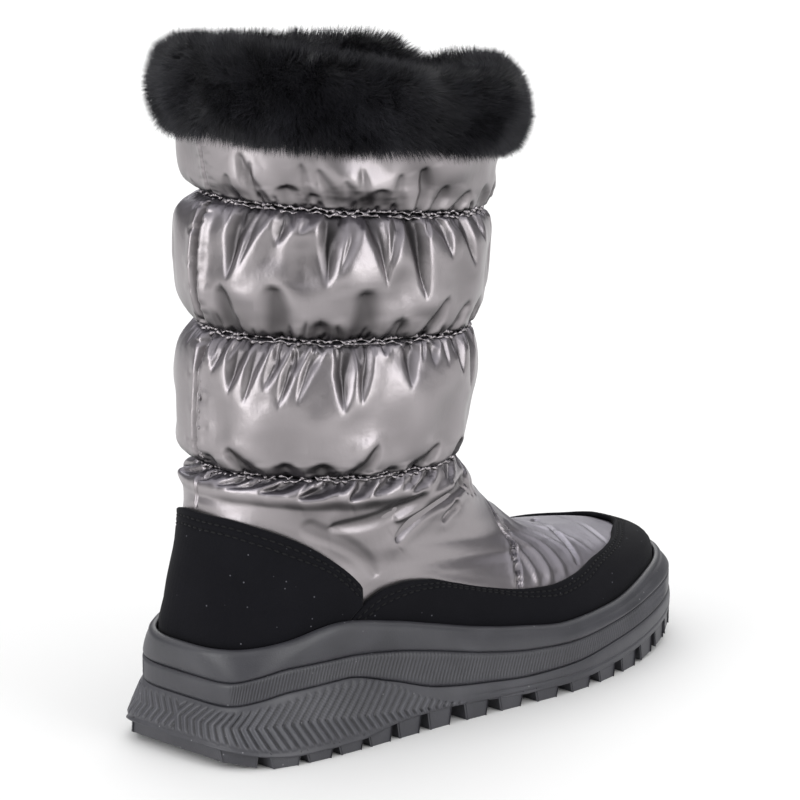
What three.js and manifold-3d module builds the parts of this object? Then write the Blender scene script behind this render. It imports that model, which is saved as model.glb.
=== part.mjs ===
// Snow boot for the right foot: a quilted shaft and vamp in one, suede overlays at heel and toe,
// a fur collar, and a moulded cup midsole on a lugged rubber outsole.
// Millimetres, +Z up. A station runs from the back of the heel (0) to the toe, a side is positive
// towards the outer side of the foot, and around runs 0 to 1 from the heel over the outer side.
import * as THREE from "three";
import { mergeVertices } from "three/addons/utils/BufferGeometryUtils.js";
import Module from "manifold-3d";

const wasm = await Module();
wasm.setup();

// ---- Driving sizes ----
const SOLE_LENGTH = 275;
const GAP = 0.3;
const WALL = { foot: 4, shaft: 3 };
const OVERLAY = { gap: 0.6, thick: 1.8 };
const INSOLE = 4;
const AROUND = 48;

// The middle line of the foot, seen from above: it swings to the inner side at the toe.
const middle = [
  { station: 0, side: 0 },
  { station: 50, side: 0.5 },
  { station: 110, side: 2.5 },
  { station: 160, side: 1.5 },
  { station: 200, side: -2.5 },
  { station: 240, side: -8.5 },
  { station: 275, side: -14.6 },
];

// Heights of the sole's lines: foot bed, cup rim, band over the ribs, parting line, sole face, lug tips.
const soleLines = [
  { station: 0, bed: 31, rim: 44, band: 32, parting: 22.5, face: 8.5, tip: 4.5 },
  { station: 14, bed: 31, rim: 44.3, band: 34.6, parting: 25, face: 5.2, tip: 1 },
  { station: 28, bed: 31, rim: 46, band: 36.5, parting: 27, face: 3.8, tip: 0 },
  { station: 54, bed: 30.5, rim: 50.3, band: 36.2, parting: 27.4, face: 4, tip: 0 },
  { station: 78, bed: 27.5, rim: 46.8, band: 34, parting: 21.8, face: 6.6, tip: 0 },
  { station: 98, bed: 24.5, rim: 42, band: 30.8, parting: 16, face: 7.2, tip: 0 },
  { station: 122, bed: 21, rim: 36, band: 26, parting: 13.3, face: 5.8, tip: 0 },
  { station: 145, bed: 18, rim: 32, band: 22.5, parting: 11.4, face: 4.4, tip: 0 },
  { station: 168, bed: 16.6, rim: 29.2, band: 21.4, parting: 11.9, face: 4.2, tip: 0 },
  { station: 197, bed: 17.4, rim: 29.6, band: 23, parting: 14.6, face: 5.4, tip: 0 },
  { station: 236, bed: 20.5, rim: 34.2, band: 26.8, parting: 18, face: 9, tip: 2.8 },
  { station: 275, bed: 24, rim: 36.4, band: 29.6, parting: 22, face: 13.5, tip: 8.5 },
];

// The sole's outermost outline, and the rings of the skin from the foot bed to the collar. Each ring
// is an egg in a plane through a back and a front point, with half widths at the heel and the ball.
// blunt and point shape its two ends, arch is what the inner side loses at the waist, and follow
// bends the ring to the foot bed's curve.
const soleRing = { back: 0, front: 275, heel: 47.5, ball: 55, blunt: 4.6, point: 3, arch: 6 };
const skinRings = [
  { level: 0, back: 11.5, backZ: 31.4, front: 265.5, frontZ: 23, heel: 37, ball: 46.5 },
  { level: 1, back: 11, backZ: 46, front: 266.5, frontZ: 38, heel: 38.5, ball: 47 },
  { level: 2, back: 12, backZ: 54, front: 260, frontZ: 42, heel: 39.5, ball: 45.5 },
  { level: 3, back: 13, backZ: 61, front: 248, frontZ: 45, heel: 40.5, ball: 42.5 },
  { level: 4, back: 14.8, backZ: 69, front: 231, frontZ: 48, heel: 41.5, ball: 38.5 },
  { level: 5, back: 16.5, backZ: 77, front: 209, frontZ: 52, heel: 42, ball: 36 },
  { level: 6, back: 18.5, backZ: 85, front: 185, frontZ: 59, heel: 43.5, ball: 36 },
  { level: 7, back: 20, backZ: 92, front: 165, frontZ: 72, heel: 45, ball: 38.5 },
  { level: 8, back: 21.5, backZ: 99, front: 146, frontZ: 88, heel: 47, ball: 44 },
  { level: 9, back: 26.5, backZ: 108, front: 131, frontZ: 105, heel: 46.5, ball: 46.5 },
  { level: 10, back: 29, backZ: 161, front: 138.5, frontZ: 155, heel: 48.5, ball: 48.5 },
  { level: 11, back: 31, backZ: 211, front: 145, frontZ: 199, heel: 50, ball: 50 },
  { level: 12, back: 28, backZ: 234, front: 150, frontZ: 218, heel: 54, ball: 54 },
  { level: 13, back: 27, backZ: 260, front: 152, frontZ: 244, heel: 55.5, ball: 55.5 },
];
const skinForms = [
  { level: 0, blunt: 3.6, point: 2.7, arch: 5, follow: 1 },
  { level: 1, blunt: 3.4, point: 2.6, arch: 5, follow: 0.9 },
  { level: 2, blunt: 3, point: 2.3, arch: 4, follow: 0.6 },
  { level: 3, blunt: 2.8, point: 2.15, arch: 3, follow: 0.35 },
  { level: 4, blunt: 2.6, point: 2.05, arch: 2, follow: 0.15 },
  { level: 5, blunt: 2.4, point: 2.1, arch: 1, follow: 0.05 },
  { level: 6, blunt: 2.3, point: 2, arch: 0, follow: 0 },
  { level: 7, blunt: 2.2, point: 2, arch: 0, follow: 0 },
  { level: 8, blunt: 2.1, point: 2, arch: 0, follow: 0 },
  { level: 9, blunt: 2.1, point: 2.1, arch: 0, follow: 0 },
  { level: 13, blunt: 2.1, point: 2.1, arch: 0, follow: 0 },
];

// Wadding between two gathered seams: how far the fabric stands out behind, at the sides and in front.
const puffs = [
  { from: 7.8, to: 9, back: 2, side: 2, front: 1.5 },
  { from: 9, to: 10, back: 7, side: 6, front: 5 },
  { from: 10, to: 11, back: 8, side: 7, front: 6 },
  { from: 11, to: 12, back: 3.5, side: 3.5, front: 3 },
];

// Top edges of the two overlays, seen from the side.
const counterEdge = [
  { station: 0, height: 92 },
  { station: 20, height: 91.8 },
  { station: 26, height: 89.5 },
  { station: 37, height: 84 },
  { station: 53, height: 73 },
  { station: 61, height: 65.5 },
  { station: 67, height: 58.5 },
  { station: 74, height: 48 },
];
const mudguardEdge = [
  { station: 52, height: 42 },
  { station: 60, height: 50.6 },
  { station: 67, height: 56.5 },
  { station: 75, height: 60 },
  { station: 84, height: 61 },
  { station: 97, height: 59.4 },
  { station: 110, height: 55.4 },
  { station: 127, height: 50.2 },
  { station: 149, height: 45.2 },
  { station: 167, height: 43.6 },
  { station: 182, height: 44.2 },
  { station: 200, height: 45.6 },
  { station: 235, height: 45.4 },
  { station: 254, height: 43.6 },
];

// The fur band: its lower and upper edge and how far it stands off the skin, at places around.
const furBand = [
  { around: 0, low: 236, high: 276, proud: 13 },
  { around: 0.12, low: 234, high: 271, proud: 13.5 },
  { around: 0.25, low: 229.5, high: 261, proud: 13.5 },
  { around: 0.36, low: 225.5, high: 256.5, proud: 13.5 },
  { around: 0.44, low: 222, high: 259, proud: 13.5 },
  { around: 0.5, low: 220, high: 257, proud: 13 },
  { around: 0.54, low: 220.5, high: 252.5, proud: 13 },
  { around: 0.6, low: 222.5, high: 263, proud: 13 },
  { around: 0.75, low: 228, high: 264, proud: 13 },
  { around: 0.88, low: 234, high: 269.5, proud: 13 },
  { around: 1, low: 236, high: 276, proud: 13 },
];

// ---- Reading the tables ----

// A column of a table as a smooth function of its key, in cubic pieces that never overshoot.
function curve(rows, key, name) {
  const x = rows.map((row) => row[key]);
  const y = rows.map((row) => row[name]);
  const rise = x.slice(1).map((next, i) => (y[i + 1] - y[i]) / (next - x[i]));
  const slope = x.map((_, i) => {
    if (i === 0) return rise[0];
    if (i === x.length - 1) return rise[i - 1];
    const [before, after] = [rise[i - 1], rise[i]];
    return before * after <= 0 ? 0 : (2 * before * after) / (before + after);
  });
  return (at) => {
    const value = Math.min(Math.max(at, x[0]), x[x.length - 1]);
    let i = 0;
    while (i < x.length - 2 && value > x[i + 1]) i += 1;
    const width = x[i + 1] - x[i];
    const f = (value - x[i]) / width;
    const held = y[i] * (1 + 2 * f) * (1 - f) ** 2 + y[i + 1] * (3 - 2 * f) * f ** 2;
    const swung = slope[i] * f * (1 - f) ** 2 - slope[i + 1] * f ** 2 * (1 - f);
    return held + width * swung;
  };
}

// Every column of a table at once, as one function that gives a row.
function table(rows, key) {
  const names = Object.keys(rows[0]).filter((name) => name !== key);
  const curves = names.map((name) => [name, curve(rows, key, name)]);
  return (at) => Object.fromEntries(curves.map(([name, read]) => [name, read(at)]));
}

const mix = (a, b, f) => a + (b - a) * f;
const smoothStep = (f) => {
  const held = Math.min(Math.max(f, 0), 1);
  return held * held * (3 - 2 * held);
};
const middleAt = curve(middle, "station", "side");
const lineAt = Object.fromEntries(
  ["bed", "rim", "band", "parting", "face", "tip"].map((n) => [n, curve(soleLines, "station", n)]),
);
const ringSize = table(skinRings, "level");
const ringForm = table(skinForms, "level");
const skinRing = (level) => ({ ...ringSize(level), ...ringForm(level) });
const TOP_LEVEL = skinRings.length - 1;

// ---- The last ----

// One side of an egg ring as a fine polyline from the back point to the front point.
const FINE = 72;
const ARCH_STATION = 118;
const ARCH_REACH = 48;
function sideLine(ring, sign) {
  const centre = (ring.back + ring.front) / 2;
  const reach = (ring.front - ring.back) / 2;
  const line = [];
  for (let i = 0; i <= FINE; i += 1) {
    const angle = (Math.PI * i) / FINE;
    const power = angle < Math.PI / 2 ? ring.blunt : ring.point;
    const along = -Math.sign(Math.cos(angle)) * Math.abs(Math.cos(angle)) ** (2 / power);
    const across = Math.sin(angle) ** (2 / power);
    const share = (1 + along) / 2;
    const half = mix(ring.heel, ring.ball, smoothStep((share - 0.25) / 0.43));
    const station = centre + reach * along;
    const waist = Math.exp(-(((station - ARCH_STATION) / ARCH_REACH) ** 2));
    const pinch = ring.arch * waist * (sign < 0 ? 1 : 0.5);
    line.push({ station, side: middleAt(station) + sign * across * (half - pinch) });
  }
  return line;
}

// The same line with places along it by half length and half turning, so bends get more points.
function measured(line) {
  const steps = line.slice(1).map((p, i) => [p.station - line[i].station, p.side - line[i].side]);
  const lengths = steps.map(([dx, dy]) => Math.hypot(dx, dy));
  const headings = steps.map(([dx, dy]) => Math.atan2(dy, dx));
  const turns = headings.map((h, i) => (i === 0 ? 0 : Math.abs(h - headings[i - 1])));
  const length = lengths.reduce((sum, value) => sum + value, 0);
  const turn = turns.reduce((sum, value) => sum + value, 0);
  let place = 0;
  const places = [0];
  lengths.forEach((value, i) => {
    const bend = (turns[i] + (turns[i + 1] ?? turns[i])) / 2;
    place += value / length + bend / turn;
    places.push(place);
  });
  return { line, places: places.map((value) => value / place) };
}

const rememberedSides = new Map();
function ringSides(key, ring) {
  if (!rememberedSides.has(key)) {
    const [outer, inner] = [1, -1].map((sign) => measured(sideLine(ring, sign)));
    rememberedSides.set(key, { outer, inner });
  }
  return rememberedSides.get(key);
}

// The plan point of a ring at a place around.
function planPoint(key, ring, around) {
  const turn = around - Math.floor(around);
  const sides = ringSides(key, ring);
  const { line, places } = turn <= 0.5 ? sides.outer : sides.inner;
  const place = turn <= 0.5 ? 2 * turn : 2 * (1 - turn);
  let i = 0;
  while (i < places.length - 2 && place > places[i + 1]) i += 1;
  const f = (place - places[i]) / (places[i + 1] - places[i]);
  return {
    station: mix(line[i].station, line[i + 1].station, f),
    side: mix(line[i].side, line[i + 1].side, f),
  };
}

// A point on the seam-to-seam skin, as [station, side, height].
function bare(level, around) {
  const ring = skinRing(level);
  const { station, side } = planPoint(level.toFixed(4), ring, around);
  const share = (station - ring.back) / (ring.front - ring.back);
  const chord = mix(lineAt.bed(ring.back), lineAt.bed(ring.front), share);
  const height = mix(ring.backZ, ring.frontZ, share) + ring.follow * (lineAt.bed(station) - chord);
  return new THREE.Vector3(station, side, height);
}

// The skin's outward direction at a point.
const NUDGE = 0.02;
function outward(level, around) {
  const low = Math.max(level - NUDGE * 4, 0);
  const high = Math.min(level + NUDGE * 4, TOP_LEVEL);
  const up = bare(high, around).sub(bare(low, around));
  const on = bare(level, around + NUDGE / 2).sub(bare(level, around - NUDGE / 2));
  return on.cross(up).normalize().negate();
}

// The bare skin moved outwards.
function skin(level, around, proud) {
  return bare(level, around).addScaledVector(outward(level, around), proud);
}

// How far the wadding lifts the outer fabric.
function puff(level, around) {
  const tier = puffs.find((row) => level > row.from && level < row.to);
  if (!tier) return 0;
  const f = (level - tier.from) / (tier.to - tier.from);
  const facing = Math.cos(2 * Math.PI * around);
  const end = facing > 0 ? tier.back : tier.front;
  return mix(tier.side, end, facing * facing) * (4 * f * (1 - f)) ** 0.6;
}

// The level at which the skin reaches a height, given as a function of the station.
function levelAt(around, heightAt) {
  let low = 0;
  let high = 9;
  for (let i = 0; i < 30; i += 1) {
    const level = (low + high) / 2;
    const point = bare(level, around);
    if (point.z < heightAt(point.x)) low = level;
    else high = level;
  }
  return low;
}

// A point on the sole's side wall: the outline moved outwards by grow, at a height line plus lift.
const solePlan = (around) => planPoint("sole", soleRing, around);
function solePoint(around, grow, heightAt) {
  const here = solePlan(around);
  const before = solePlan(around - NUDGE / 4);
  const after = solePlan(around + NUDGE / 4);
  const heading = Math.atan2(after.side - before.side, after.station - before.station);
  const station = here.station - Math.sin(heading) * grow;
  const side = here.side + Math.cos(heading) * grow;
  return new THREE.Vector3(station, side, heightAt(here.station));
}

// ---- Making solids ----

// The object's own axes: the toe towards -Y, the outer side of the right foot towards -X.
const place = (point) => [-point.y, SOLE_LENGTH / 2 - point.x, point.z];

const places = Array.from({ length: AROUND }, (_, i) => i / AROUND);
const ringOf = (pointAt) => places.map(pointAt);

function geometryOf(points, faces) {
  const geometry = new THREE.BufferGeometry();
  geometry.setAttribute("position", new THREE.Float32BufferAttribute(points.flatMap(place), 3));
  geometry.setIndex(faces.flat());
  return geometry;
}

// Turns the faces round where they look inwards.
function facingOut(points, faces) {
  const total = faces.reduce((sum, [a, b, c]) => {
    const cross = new THREE.Vector3().crossVectors(points[b], points[c]);
    return sum + points[a].dot(cross);
  }, 0);
  const mirrored = total > 0; // place() mirrors the side axis
  return mirrored ? faces.map(([a, b, c]) => [a, c, b]) : faces;
}

// Rings of equal count joined in order, then closed end to end, or capped across from side to side.
function solidOfRings(rings, closed) {
  const count = rings[0].length;
  const points = rings.flat();
  const faces = [];
  const joins = closed ? rings.length : rings.length - 1;
  for (let r = 0; r < joins; r += 1) {
    const here = r * count;
    const next = ((r + 1) % rings.length) * count;
    for (let i = 0; i < count; i += 1) {
      const j = (i + 1) % count;
      faces.push([here + i, here + j, next + j], [here + i, next + j, next + i]);
    }
  }
  if (!closed) {
    const last = (rings.length - 1) * count;
    for (let i = 0; i < count / 2; i += 1) {
      const [a, b, c, d] = [i, i + 1, (count - i) % count, count - i - 1];
      const strips = [[a, c, b], [c, d, b]].filter(([p, q, s]) => p !== q && q !== s && p !== s);
      strips.forEach(([p, q, s]) => faces.push([p, q, s], [last + p, last + s, last + q]));
    }
  }
  return geometryOf(points, facingOut(points, faces));
}

// A closed patch between an outer and an inner grid of points, given as columns.
function solidOfPatch(outer, inner) {
  const rows = outer[0].length;
  const points = [...outer.flat(), ...inner.flat()];
  const shift = outer.length * rows;
  const faces = [];
  const quad = (a, b, c, d) => faces.push([a, b, c], [a, c, d]);
  for (let i = 0; i < outer.length - 1; i += 1) {
    for (let j = 0; j < rows - 1; j += 1) {
      const [a, b] = [i * rows + j, (i + 1) * rows + j];
      quad(a, b, b + 1, a + 1);
      quad(shift + a, shift + a + 1, shift + b + 1, shift + b);
    }
    const [low, lowNext] = [i * rows, (i + 1) * rows];
    const [top, topNext] = [low + rows - 1, lowNext + rows - 1];
    quad(low, shift + low, shift + lowNext, lowNext);
    quad(top, topNext, shift + topNext, shift + top);
  }
  const end = (outer.length - 1) * rows;
  for (let j = 0; j < rows - 1; j += 1) {
    quad(j, j + 1, shift + j + 1, shift + j);
    quad(end + j, shift + end + j, shift + end + j + 1, end + j + 1);
  }
  return geometryOf(points, facingOut(points, faces));
}

function toManifold(geometry) {
  const merged = mergeVertices(geometry, 1e-4);
  const mesh = { numProp: 3, vertProperties: merged.attributes.position.array };
  return new wasm.Manifold(new wasm.Mesh({ ...mesh, triVerts: new Uint32Array(merged.index.array) }));
}

function fromManifold(manifold) {
  const mesh = manifold.getMesh();
  const geometry = new THREE.BufferGeometry();
  geometry.setAttribute("position", new THREE.BufferAttribute(mesh.vertProperties, 3));
  geometry.setIndex(new THREE.BufferAttribute(mesh.triVerts, 1));
  return geometry;
}

const boot = new THREE.Group();
function addPiece(name, geometry, color, roughness, metalness) {
  const mesh = new THREE.Mesh(geometry, new THREE.MeshStandardMaterial({ color, roughness, metalness }));
  mesh.name = name;
  boot.add(mesh);
}

// ---- Outsole ----
// The side wall flares towards the ground at the heel; rows run from the parting line to the face.
const LUG_DEPTH = 13;
const LUG_ROOT = 1;
const outsoleWall = [
  { line: "parting", lift: -GAP / 2, heel: -6.8, toe: -0.8 },
  { line: "parting", lift: -3, heel: -5.4, toe: 0 },
  { line: "face", lift: 3.5, heel: -1.4, toe: -0.2 },
  { line: "face", lift: 0, heel: 0, toe: -0.8 },
];
const flare = (row, station) => mix(row.heel, row.toe, smoothStep((station - 60) / 60));
function wallRing(row) {
  return ringOf((around) => {
    const grow = flare(row, solePlan(around).station);
    return solePoint(around, grow, (station) => lineAt[row.line](station) + row.lift);
  });
}

// Lug rows along the edge, as stations of their middles, and across the middle of the tread.
const edgeLugs = [22, 37, 52, 67, 82, 98, 117, 135, 154, 173, 191, 208, 224, 239, 252];
const centreLugs = [16, 34, 52, 70, 90, 112, 134, 156, 178, 200, 221, 241];
const LUG_LENGTH = 10;
const CENTRE_LUG = { length: 8, half: 13 };

// A block from the tip line up into the face, over four plan corners given in order.
function lugBlock(corners) {
  const low = corners.map(([station, side]) => new THREE.Vector3(station, side, lineAt.tip(station)));
  const high = corners.map(([station, side]) => {
    return new THREE.Vector3(station, side, lineAt.face(station) + LUG_ROOT);
  });
  return solidOfRings([high, low], false);
}

// The half width of the sole at a station, on one side, with a set-back from the outline.
function edgeSide(station, sign, setBack) {
  const { line } = ringSides("sole", soleRing)[sign > 0 ? "outer" : "inner"];
  const i = Math.max(line.findIndex((point) => point.station >= station), 1);
  const f = (station - line[i - 1].station) / (line[i].station - line[i - 1].station);
  return mix(line[i - 1].side, line[i].side, f) - sign * setBack;
}

function edgeLug(station, sign) {
  const corner = (at, setBack) => [at, edgeSide(at, sign, setBack)];
  const [back, front] = [station - LUG_LENGTH / 2, station + LUG_LENGTH / 2];
  return lugBlock([
    corner(back, 1.2),
    corner(front, 1.2),
    corner(front, LUG_DEPTH + 1.2),
    corner(back, LUG_DEPTH + 1.2),
  ]);
}

function centreLug(station) {
  const middleSide = middleAt(station);
  const [back, front] = [station - CENTRE_LUG.length / 2, station + CENTRE_LUG.length / 2];
  return lugBlock([
    [back, middleSide - CENTRE_LUG.half],
    [back, middleSide + CENTRE_LUG.half],
    [front, middleSide + CENTRE_LUG.half],
    [front, middleSide - CENTRE_LUG.half],
  ]);
}

// The heel and toe each end in one bar across the sole, set back from the outline.
const endBars = [
  { back: 3, front: 12, setBack: 3 },
  { back: 260, front: 270, setBack: 4 },
];
function endBar({ back, front, setBack }) {
  return lugBlock([
    [back, edgeSide(back, -1, setBack)],
    [back, edgeSide(back, 1, setBack)],
    [front, edgeSide(front, 1, setBack)],
    [front, edgeSide(front, -1, setBack)],
  ]);
}

const lugs = [
  ...edgeLugs.flatMap((station) => [edgeLug(station, 1), edgeLug(station, -1)]),
  ...centreLugs.map(centreLug),
  ...endBars.map(endBar),
];
const plate = toManifold(solidOfRings(outsoleWall.map(wallRing), false));
const outsole = lugs.reduce((sum, lug) => sum.add(toManifold(lug)), plate);
addPiece("outsole", fromManifold(outsole), 0x4a4b4f, 0.75, 0);

// ---- Midsole ----
// A cup: the outer wall from the parting line up to the rim, then down inside to the foot bed.
const CUP = OVERLAY.gap + OVERLAY.thick + 2 * GAP;
const midsoleWall = [
  { line: "parting", lift: GAP / 2, heel: -6.8, toe: -0.8 },
  { line: "band", lift: -1, heel: -6.8, toe: -0.4 },
  { line: "band", lift: 0, heel: -7.6, toe: -1.2 },
  { line: "band", lift: 1, heel: -7, toe: -0.6 },
];
const RIM = [
  { drop: 2.4, proud: 3.4 },
  { drop: 0.5, proud: 2.4 },
  { drop: 0, proud: 0 },
];
const rimRings = RIM.map(({ drop, proud }) => {
  return ringOf((around) => {
    const level = levelAt(around, (station) => lineAt.rim(station) - drop);
    return skin(level, around, CUP + proud);
  });
});
const cupLevels = [0.8, 0.5, 0.02];
const cupInside = cupLevels.map((level) => ringOf((around) => skin(level, around, CUP)));
const midsole = solidOfRings([...midsoleWall.map(wallRing), ...rimRings, ...cupInside], false);
addPiece("midsole", midsole, 0x55565a, 0.7, 0);

// ---- Upper ----
const footLevels = [0.02, 0.5, 1, 1.5, 2, 2.5, 3, 3.5, 4, 4.5, 5, 5.5, 6, 6.5, 7, 7.5, 8];
const tierShares = [0.06, 0.2, 0.4, 0.6, 0.8, 0.94, 1];
const tierLevels = [9, 10, 11].flatMap((from) => tierShares.map((share) => from + share));
const outerLevels = [...footLevels, 8.5, 8.85, 9, ...tierLevels, TOP_LEVEL];
const innerLevels = [13, 12, 11, 10, 9, 8, 7, 6, 5, 4, 3, 2, 1.5, 1, 0.5, 0.02];
const wallAt = (level) => mix(WALL.foot, WALL.shaft, smoothStep((level - 6) / 3));
const upperOutside = outerLevels.map((level) => {
  return ringOf((around) => skin(level, around, puff(level, around)));
});
const upperInside = innerLevels.map((level) => ringOf((around) => skin(level, around, -wallAt(level))));
addPiece("upper", solidOfRings([...upperOutside, ...upperInside], true), 0x8a8785, 0.35, 0.6);

// ---- Insole ----
const INSOLE_LEVEL = 0.25;
const INSOLE_LIFT = 0.8;
const insoleRing = (lift) => {
  return ringOf((around) => {
    const point = skin(INSOLE_LEVEL, around, -WALL.foot - 2 * GAP);
    point.z = lineAt.bed(point.x) + lift;
    return point;
  });
};
const insole = solidOfRings([insoleRing(INSOLE_LIFT), insoleRing(INSOLE_LIFT + INSOLE)], false);
addPiece("insole", insole, 0x1b1b1e, 0.95, 0);

// ---- Heel counter and mudguard ----
// Both lie just off the skin, from inside the cup up to their edges.
const PATCH_FOOT = 0.6;
const PATCH_ROWS = 8;
const edgeHeight = {
  counter: curve(counterEdge, "station", "height"),
  mudguard: curve(mudguardEdge, "station", "height"),
};
function patchColumn(around, lowLevel, highLevel, proud) {
  return Array.from({ length: PATCH_ROWS + 1 }, (_, i) => {
    return skin(mix(lowLevel, highLevel, i / PATCH_ROWS), around, proud);
  });
}
function patch(columns) {
  const side = (proud) => columns.map(({ around, low, high }) => patchColumn(around, low, high, proud));
  return solidOfPatch(side(OVERLAY.gap + OVERLAY.thick), side(OVERLAY.gap));
}
// Columns at the places of the other rings, with half steps where the two overlays meet.
const HALF_STEPS = 2 * AROUND;
const MEETING = { from: 10, to: 21 };
function patchPlaces(first, last) {
  const found = [];
  for (let step = first; step <= last; step += 1) {
    const fromHeel = Math.min(Math.abs(step), HALF_STEPS - step);
    const fine = fromHeel >= MEETING.from && fromHeel <= MEETING.to;
    if (fine || step % 2 === 0) found.push(step / HALF_STEPS);
  }
  return found;
}
const COUNTER_END = 17;
const MUDGUARD_START = 13;
const counterColumns = patchPlaces(-COUNTER_END, COUNTER_END).map((around) => {
  const overMudguard = levelAt(around, (station) => edgeHeight.mudguard(station) + 2 * GAP);
  const low = Math.max(PATCH_FOOT, overMudguard);
  const high = levelAt(around, edgeHeight.counter);
  return { around, low, high };
});
// On the inner side of the forefoot the mudguard's edge lies a little lower.
const INNER = { drop: 3.5, from: 150, reach: 50, share: 0.08 };
const mudguardColumns = patchPlaces(MUDGUARD_START, HALF_STEPS - MUDGUARD_START).map((around) => {
  const drop = INNER.drop * smoothStep((around - 0.5) / INNER.share);
  const edge = (station) => {
    return edgeHeight.mudguard(station) - drop * smoothStep((station - INNER.from) / INNER.reach);
  };
  return { around, low: PATCH_FOOT, high: levelAt(around, edge) };
});
addPiece("heel_counter", patch(counterColumns), 0x222327, 0.9, 0);
addPiece("mudguard", patch(mudguardColumns), 0x222327, 0.9, 0);

// ---- Fur collar ----
// A thick band that straddles the upper's top edge: rows give its section, outside to inside, as
// shares of its stand-off and of its height.
const FUR_INSIDE = 9;
const furAt = table(furBand, "around");
const furSection = [
  { out: 0.5, rise: 0.0 },
  { out: 0.86, rise: 0.13 },
  { out: 1, rise: 0.36 },
  { out: 0.97, rise: 0.6 },
  { out: 0.72, rise: 0.86 },
  { out: 0.3, rise: 0.99 },
  { out: -0.25, rise: 0.97 },
  { out: -0.7, rise: 0.8 },
  { out: -1, rise: 0.55 },
  { out: -0.9, rise: 0.35 },
];
// The bare skin at a height near the collar, its wall line carried straight on above the top edge.
const BELOW_TOP = TOP_LEVEL - 1;
function collarPoint(around, height, proud) {
  const low = bare(BELOW_TOP, around);
  const high = bare(TOP_LEVEL, around);
  const point = low.clone().lerp(high, (height - low.z) / (high.z - low.z));
  const sideways = outward((BELOW_TOP + TOP_LEVEL) / 2, around).setZ(0).normalize();
  return point.addScaledVector(sideways, proud);
}
function bandHeight(around, share) {
  const { low, high } = furAt(around);
  return mix(low, high, share);
}
const furRings = furSection.map(({ out, rise }) => {
  return ringOf((around) => {
    const proud = out > 0 ? out * furAt(around).proud : -WALL.shaft + out * FUR_INSIDE;
    return collarPoint(around, bandHeight(around, rise), proud);
  });
});
// The slot follows the wall's inner face up, its top edge across and its outer face down.
const SLOT = { inside: -WALL.shaft - GAP, outside: GAP, roof: 2 * GAP };
const SLOT_FOOT = { inside: 0.3, outside: 0.01 };
const roofHeight = (around) => bare(TOP_LEVEL, around).z + SLOT.roof;
const slotRings = [
  ringOf((around) => collarPoint(around, bandHeight(around, SLOT_FOOT.inside), SLOT.inside)),
  ringOf((around) => collarPoint(around, roofHeight(around), SLOT.inside)),
  ringOf((around) => collarPoint(around, roofHeight(around), SLOT.outside)),
  ringOf((around) => collarPoint(around, bandHeight(around, SLOT_FOOT.outside), SLOT.outside)),
];
addPiece("fur_collar", solidOfRings([...furRings, ...slotRings], true), 0x15151a, 1, 0);

// The origin is at the bottom centre of the whole boot.
const bounds = new THREE.Box3().setFromObject(boot);
boot.position.set(-(bounds.min.x + bounds.max.x) / 2, -(bounds.min.y + bounds.max.y) / 2, -bounds.min.z);

export default boot;
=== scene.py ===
import math
import bmesh
import bpy
import numpy as np
from mathutils import Matrix, Vector


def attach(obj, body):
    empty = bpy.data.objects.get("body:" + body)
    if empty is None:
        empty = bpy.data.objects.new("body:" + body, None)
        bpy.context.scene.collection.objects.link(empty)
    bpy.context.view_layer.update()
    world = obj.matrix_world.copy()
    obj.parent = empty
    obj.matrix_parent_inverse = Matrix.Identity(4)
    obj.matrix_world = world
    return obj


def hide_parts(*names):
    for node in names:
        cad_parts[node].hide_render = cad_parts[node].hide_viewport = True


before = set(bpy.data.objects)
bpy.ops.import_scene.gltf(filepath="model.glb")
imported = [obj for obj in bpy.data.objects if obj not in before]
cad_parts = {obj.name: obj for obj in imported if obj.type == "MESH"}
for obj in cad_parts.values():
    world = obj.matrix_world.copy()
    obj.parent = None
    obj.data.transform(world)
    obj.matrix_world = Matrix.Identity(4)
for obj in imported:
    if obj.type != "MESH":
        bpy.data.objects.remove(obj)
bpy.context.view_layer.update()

# ---- Camera, floor and light ----
# A long lens a little over a metre from the boot, a matt white floor, two wide soft boxes at either
# side of the camera with a darker gap between them, and a broad overhead light.


def hex_to_linear(code):
    channels = [int(code[i:i + 2], 16) / 255 for i in (1, 3, 5)]
    return [c / 12.92 if c <= 0.04045 else ((c + 0.055) / 1.055) ** 2.4 for c in channels] + [1.0]


def add_node(tree, kind, settings=None, links=None):
    """A node with its attributes or input values set, and links from other nodes' sockets to its inputs."""
    node = tree.nodes.new(kind)
    for key, value in (settings or {}).items():
        if isinstance(key, int) or key in node.inputs.keys():
            node.inputs[key].default_value = value
        else:
            setattr(node, key, value)
    for key, source in (links or {}).items():
        tree.links.new(source, node.inputs[key])
    return node


def cells_of(millimetres):
    """The scale of a pattern on Object coordinates whose cells are so many millimetres wide."""
    return 1000 / millimetres


def new_material(name):
    material = bpy.data.materials.new(name)
    material.use_nodes = True
    material.node_tree.nodes.clear()
    return material, material.node_tree


scene = bpy.context.scene
scene.view_settings.view_transform = "Standard"
CAMERA_PLACE = Vector((-1.0302, 1.0411, 0.4582))
CAMERA_AIM = Vector((0.6907, -0.6870, -0.2268))
CAMERA_LENS = 169.6
camera_data = bpy.data.cameras.new("camera")
camera_data.lens = CAMERA_LENS
camera_data.sensor_width = 36
camera = bpy.data.objects.new("camera", camera_data)
scene.collection.objects.link(camera)
camera.location = CAMERA_PLACE
camera.rotation_mode = "QUATERNION"
camera.rotation_quaternion = CAMERA_AIM.to_track_quat("-Z", "Y")
scene.camera = camera

world = bpy.data.worlds.new("studio")
scene.world = world
world.use_nodes = True
world.node_tree.nodes.clear()
dome = add_node(world.node_tree, "ShaderNodeBackground", {"Color": (1, 1, 1, 1), "Strength": 0.12})
add_node(world.node_tree, "ShaderNodeOutputWorld", None, {"Surface": dome.outputs[0]})


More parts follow.
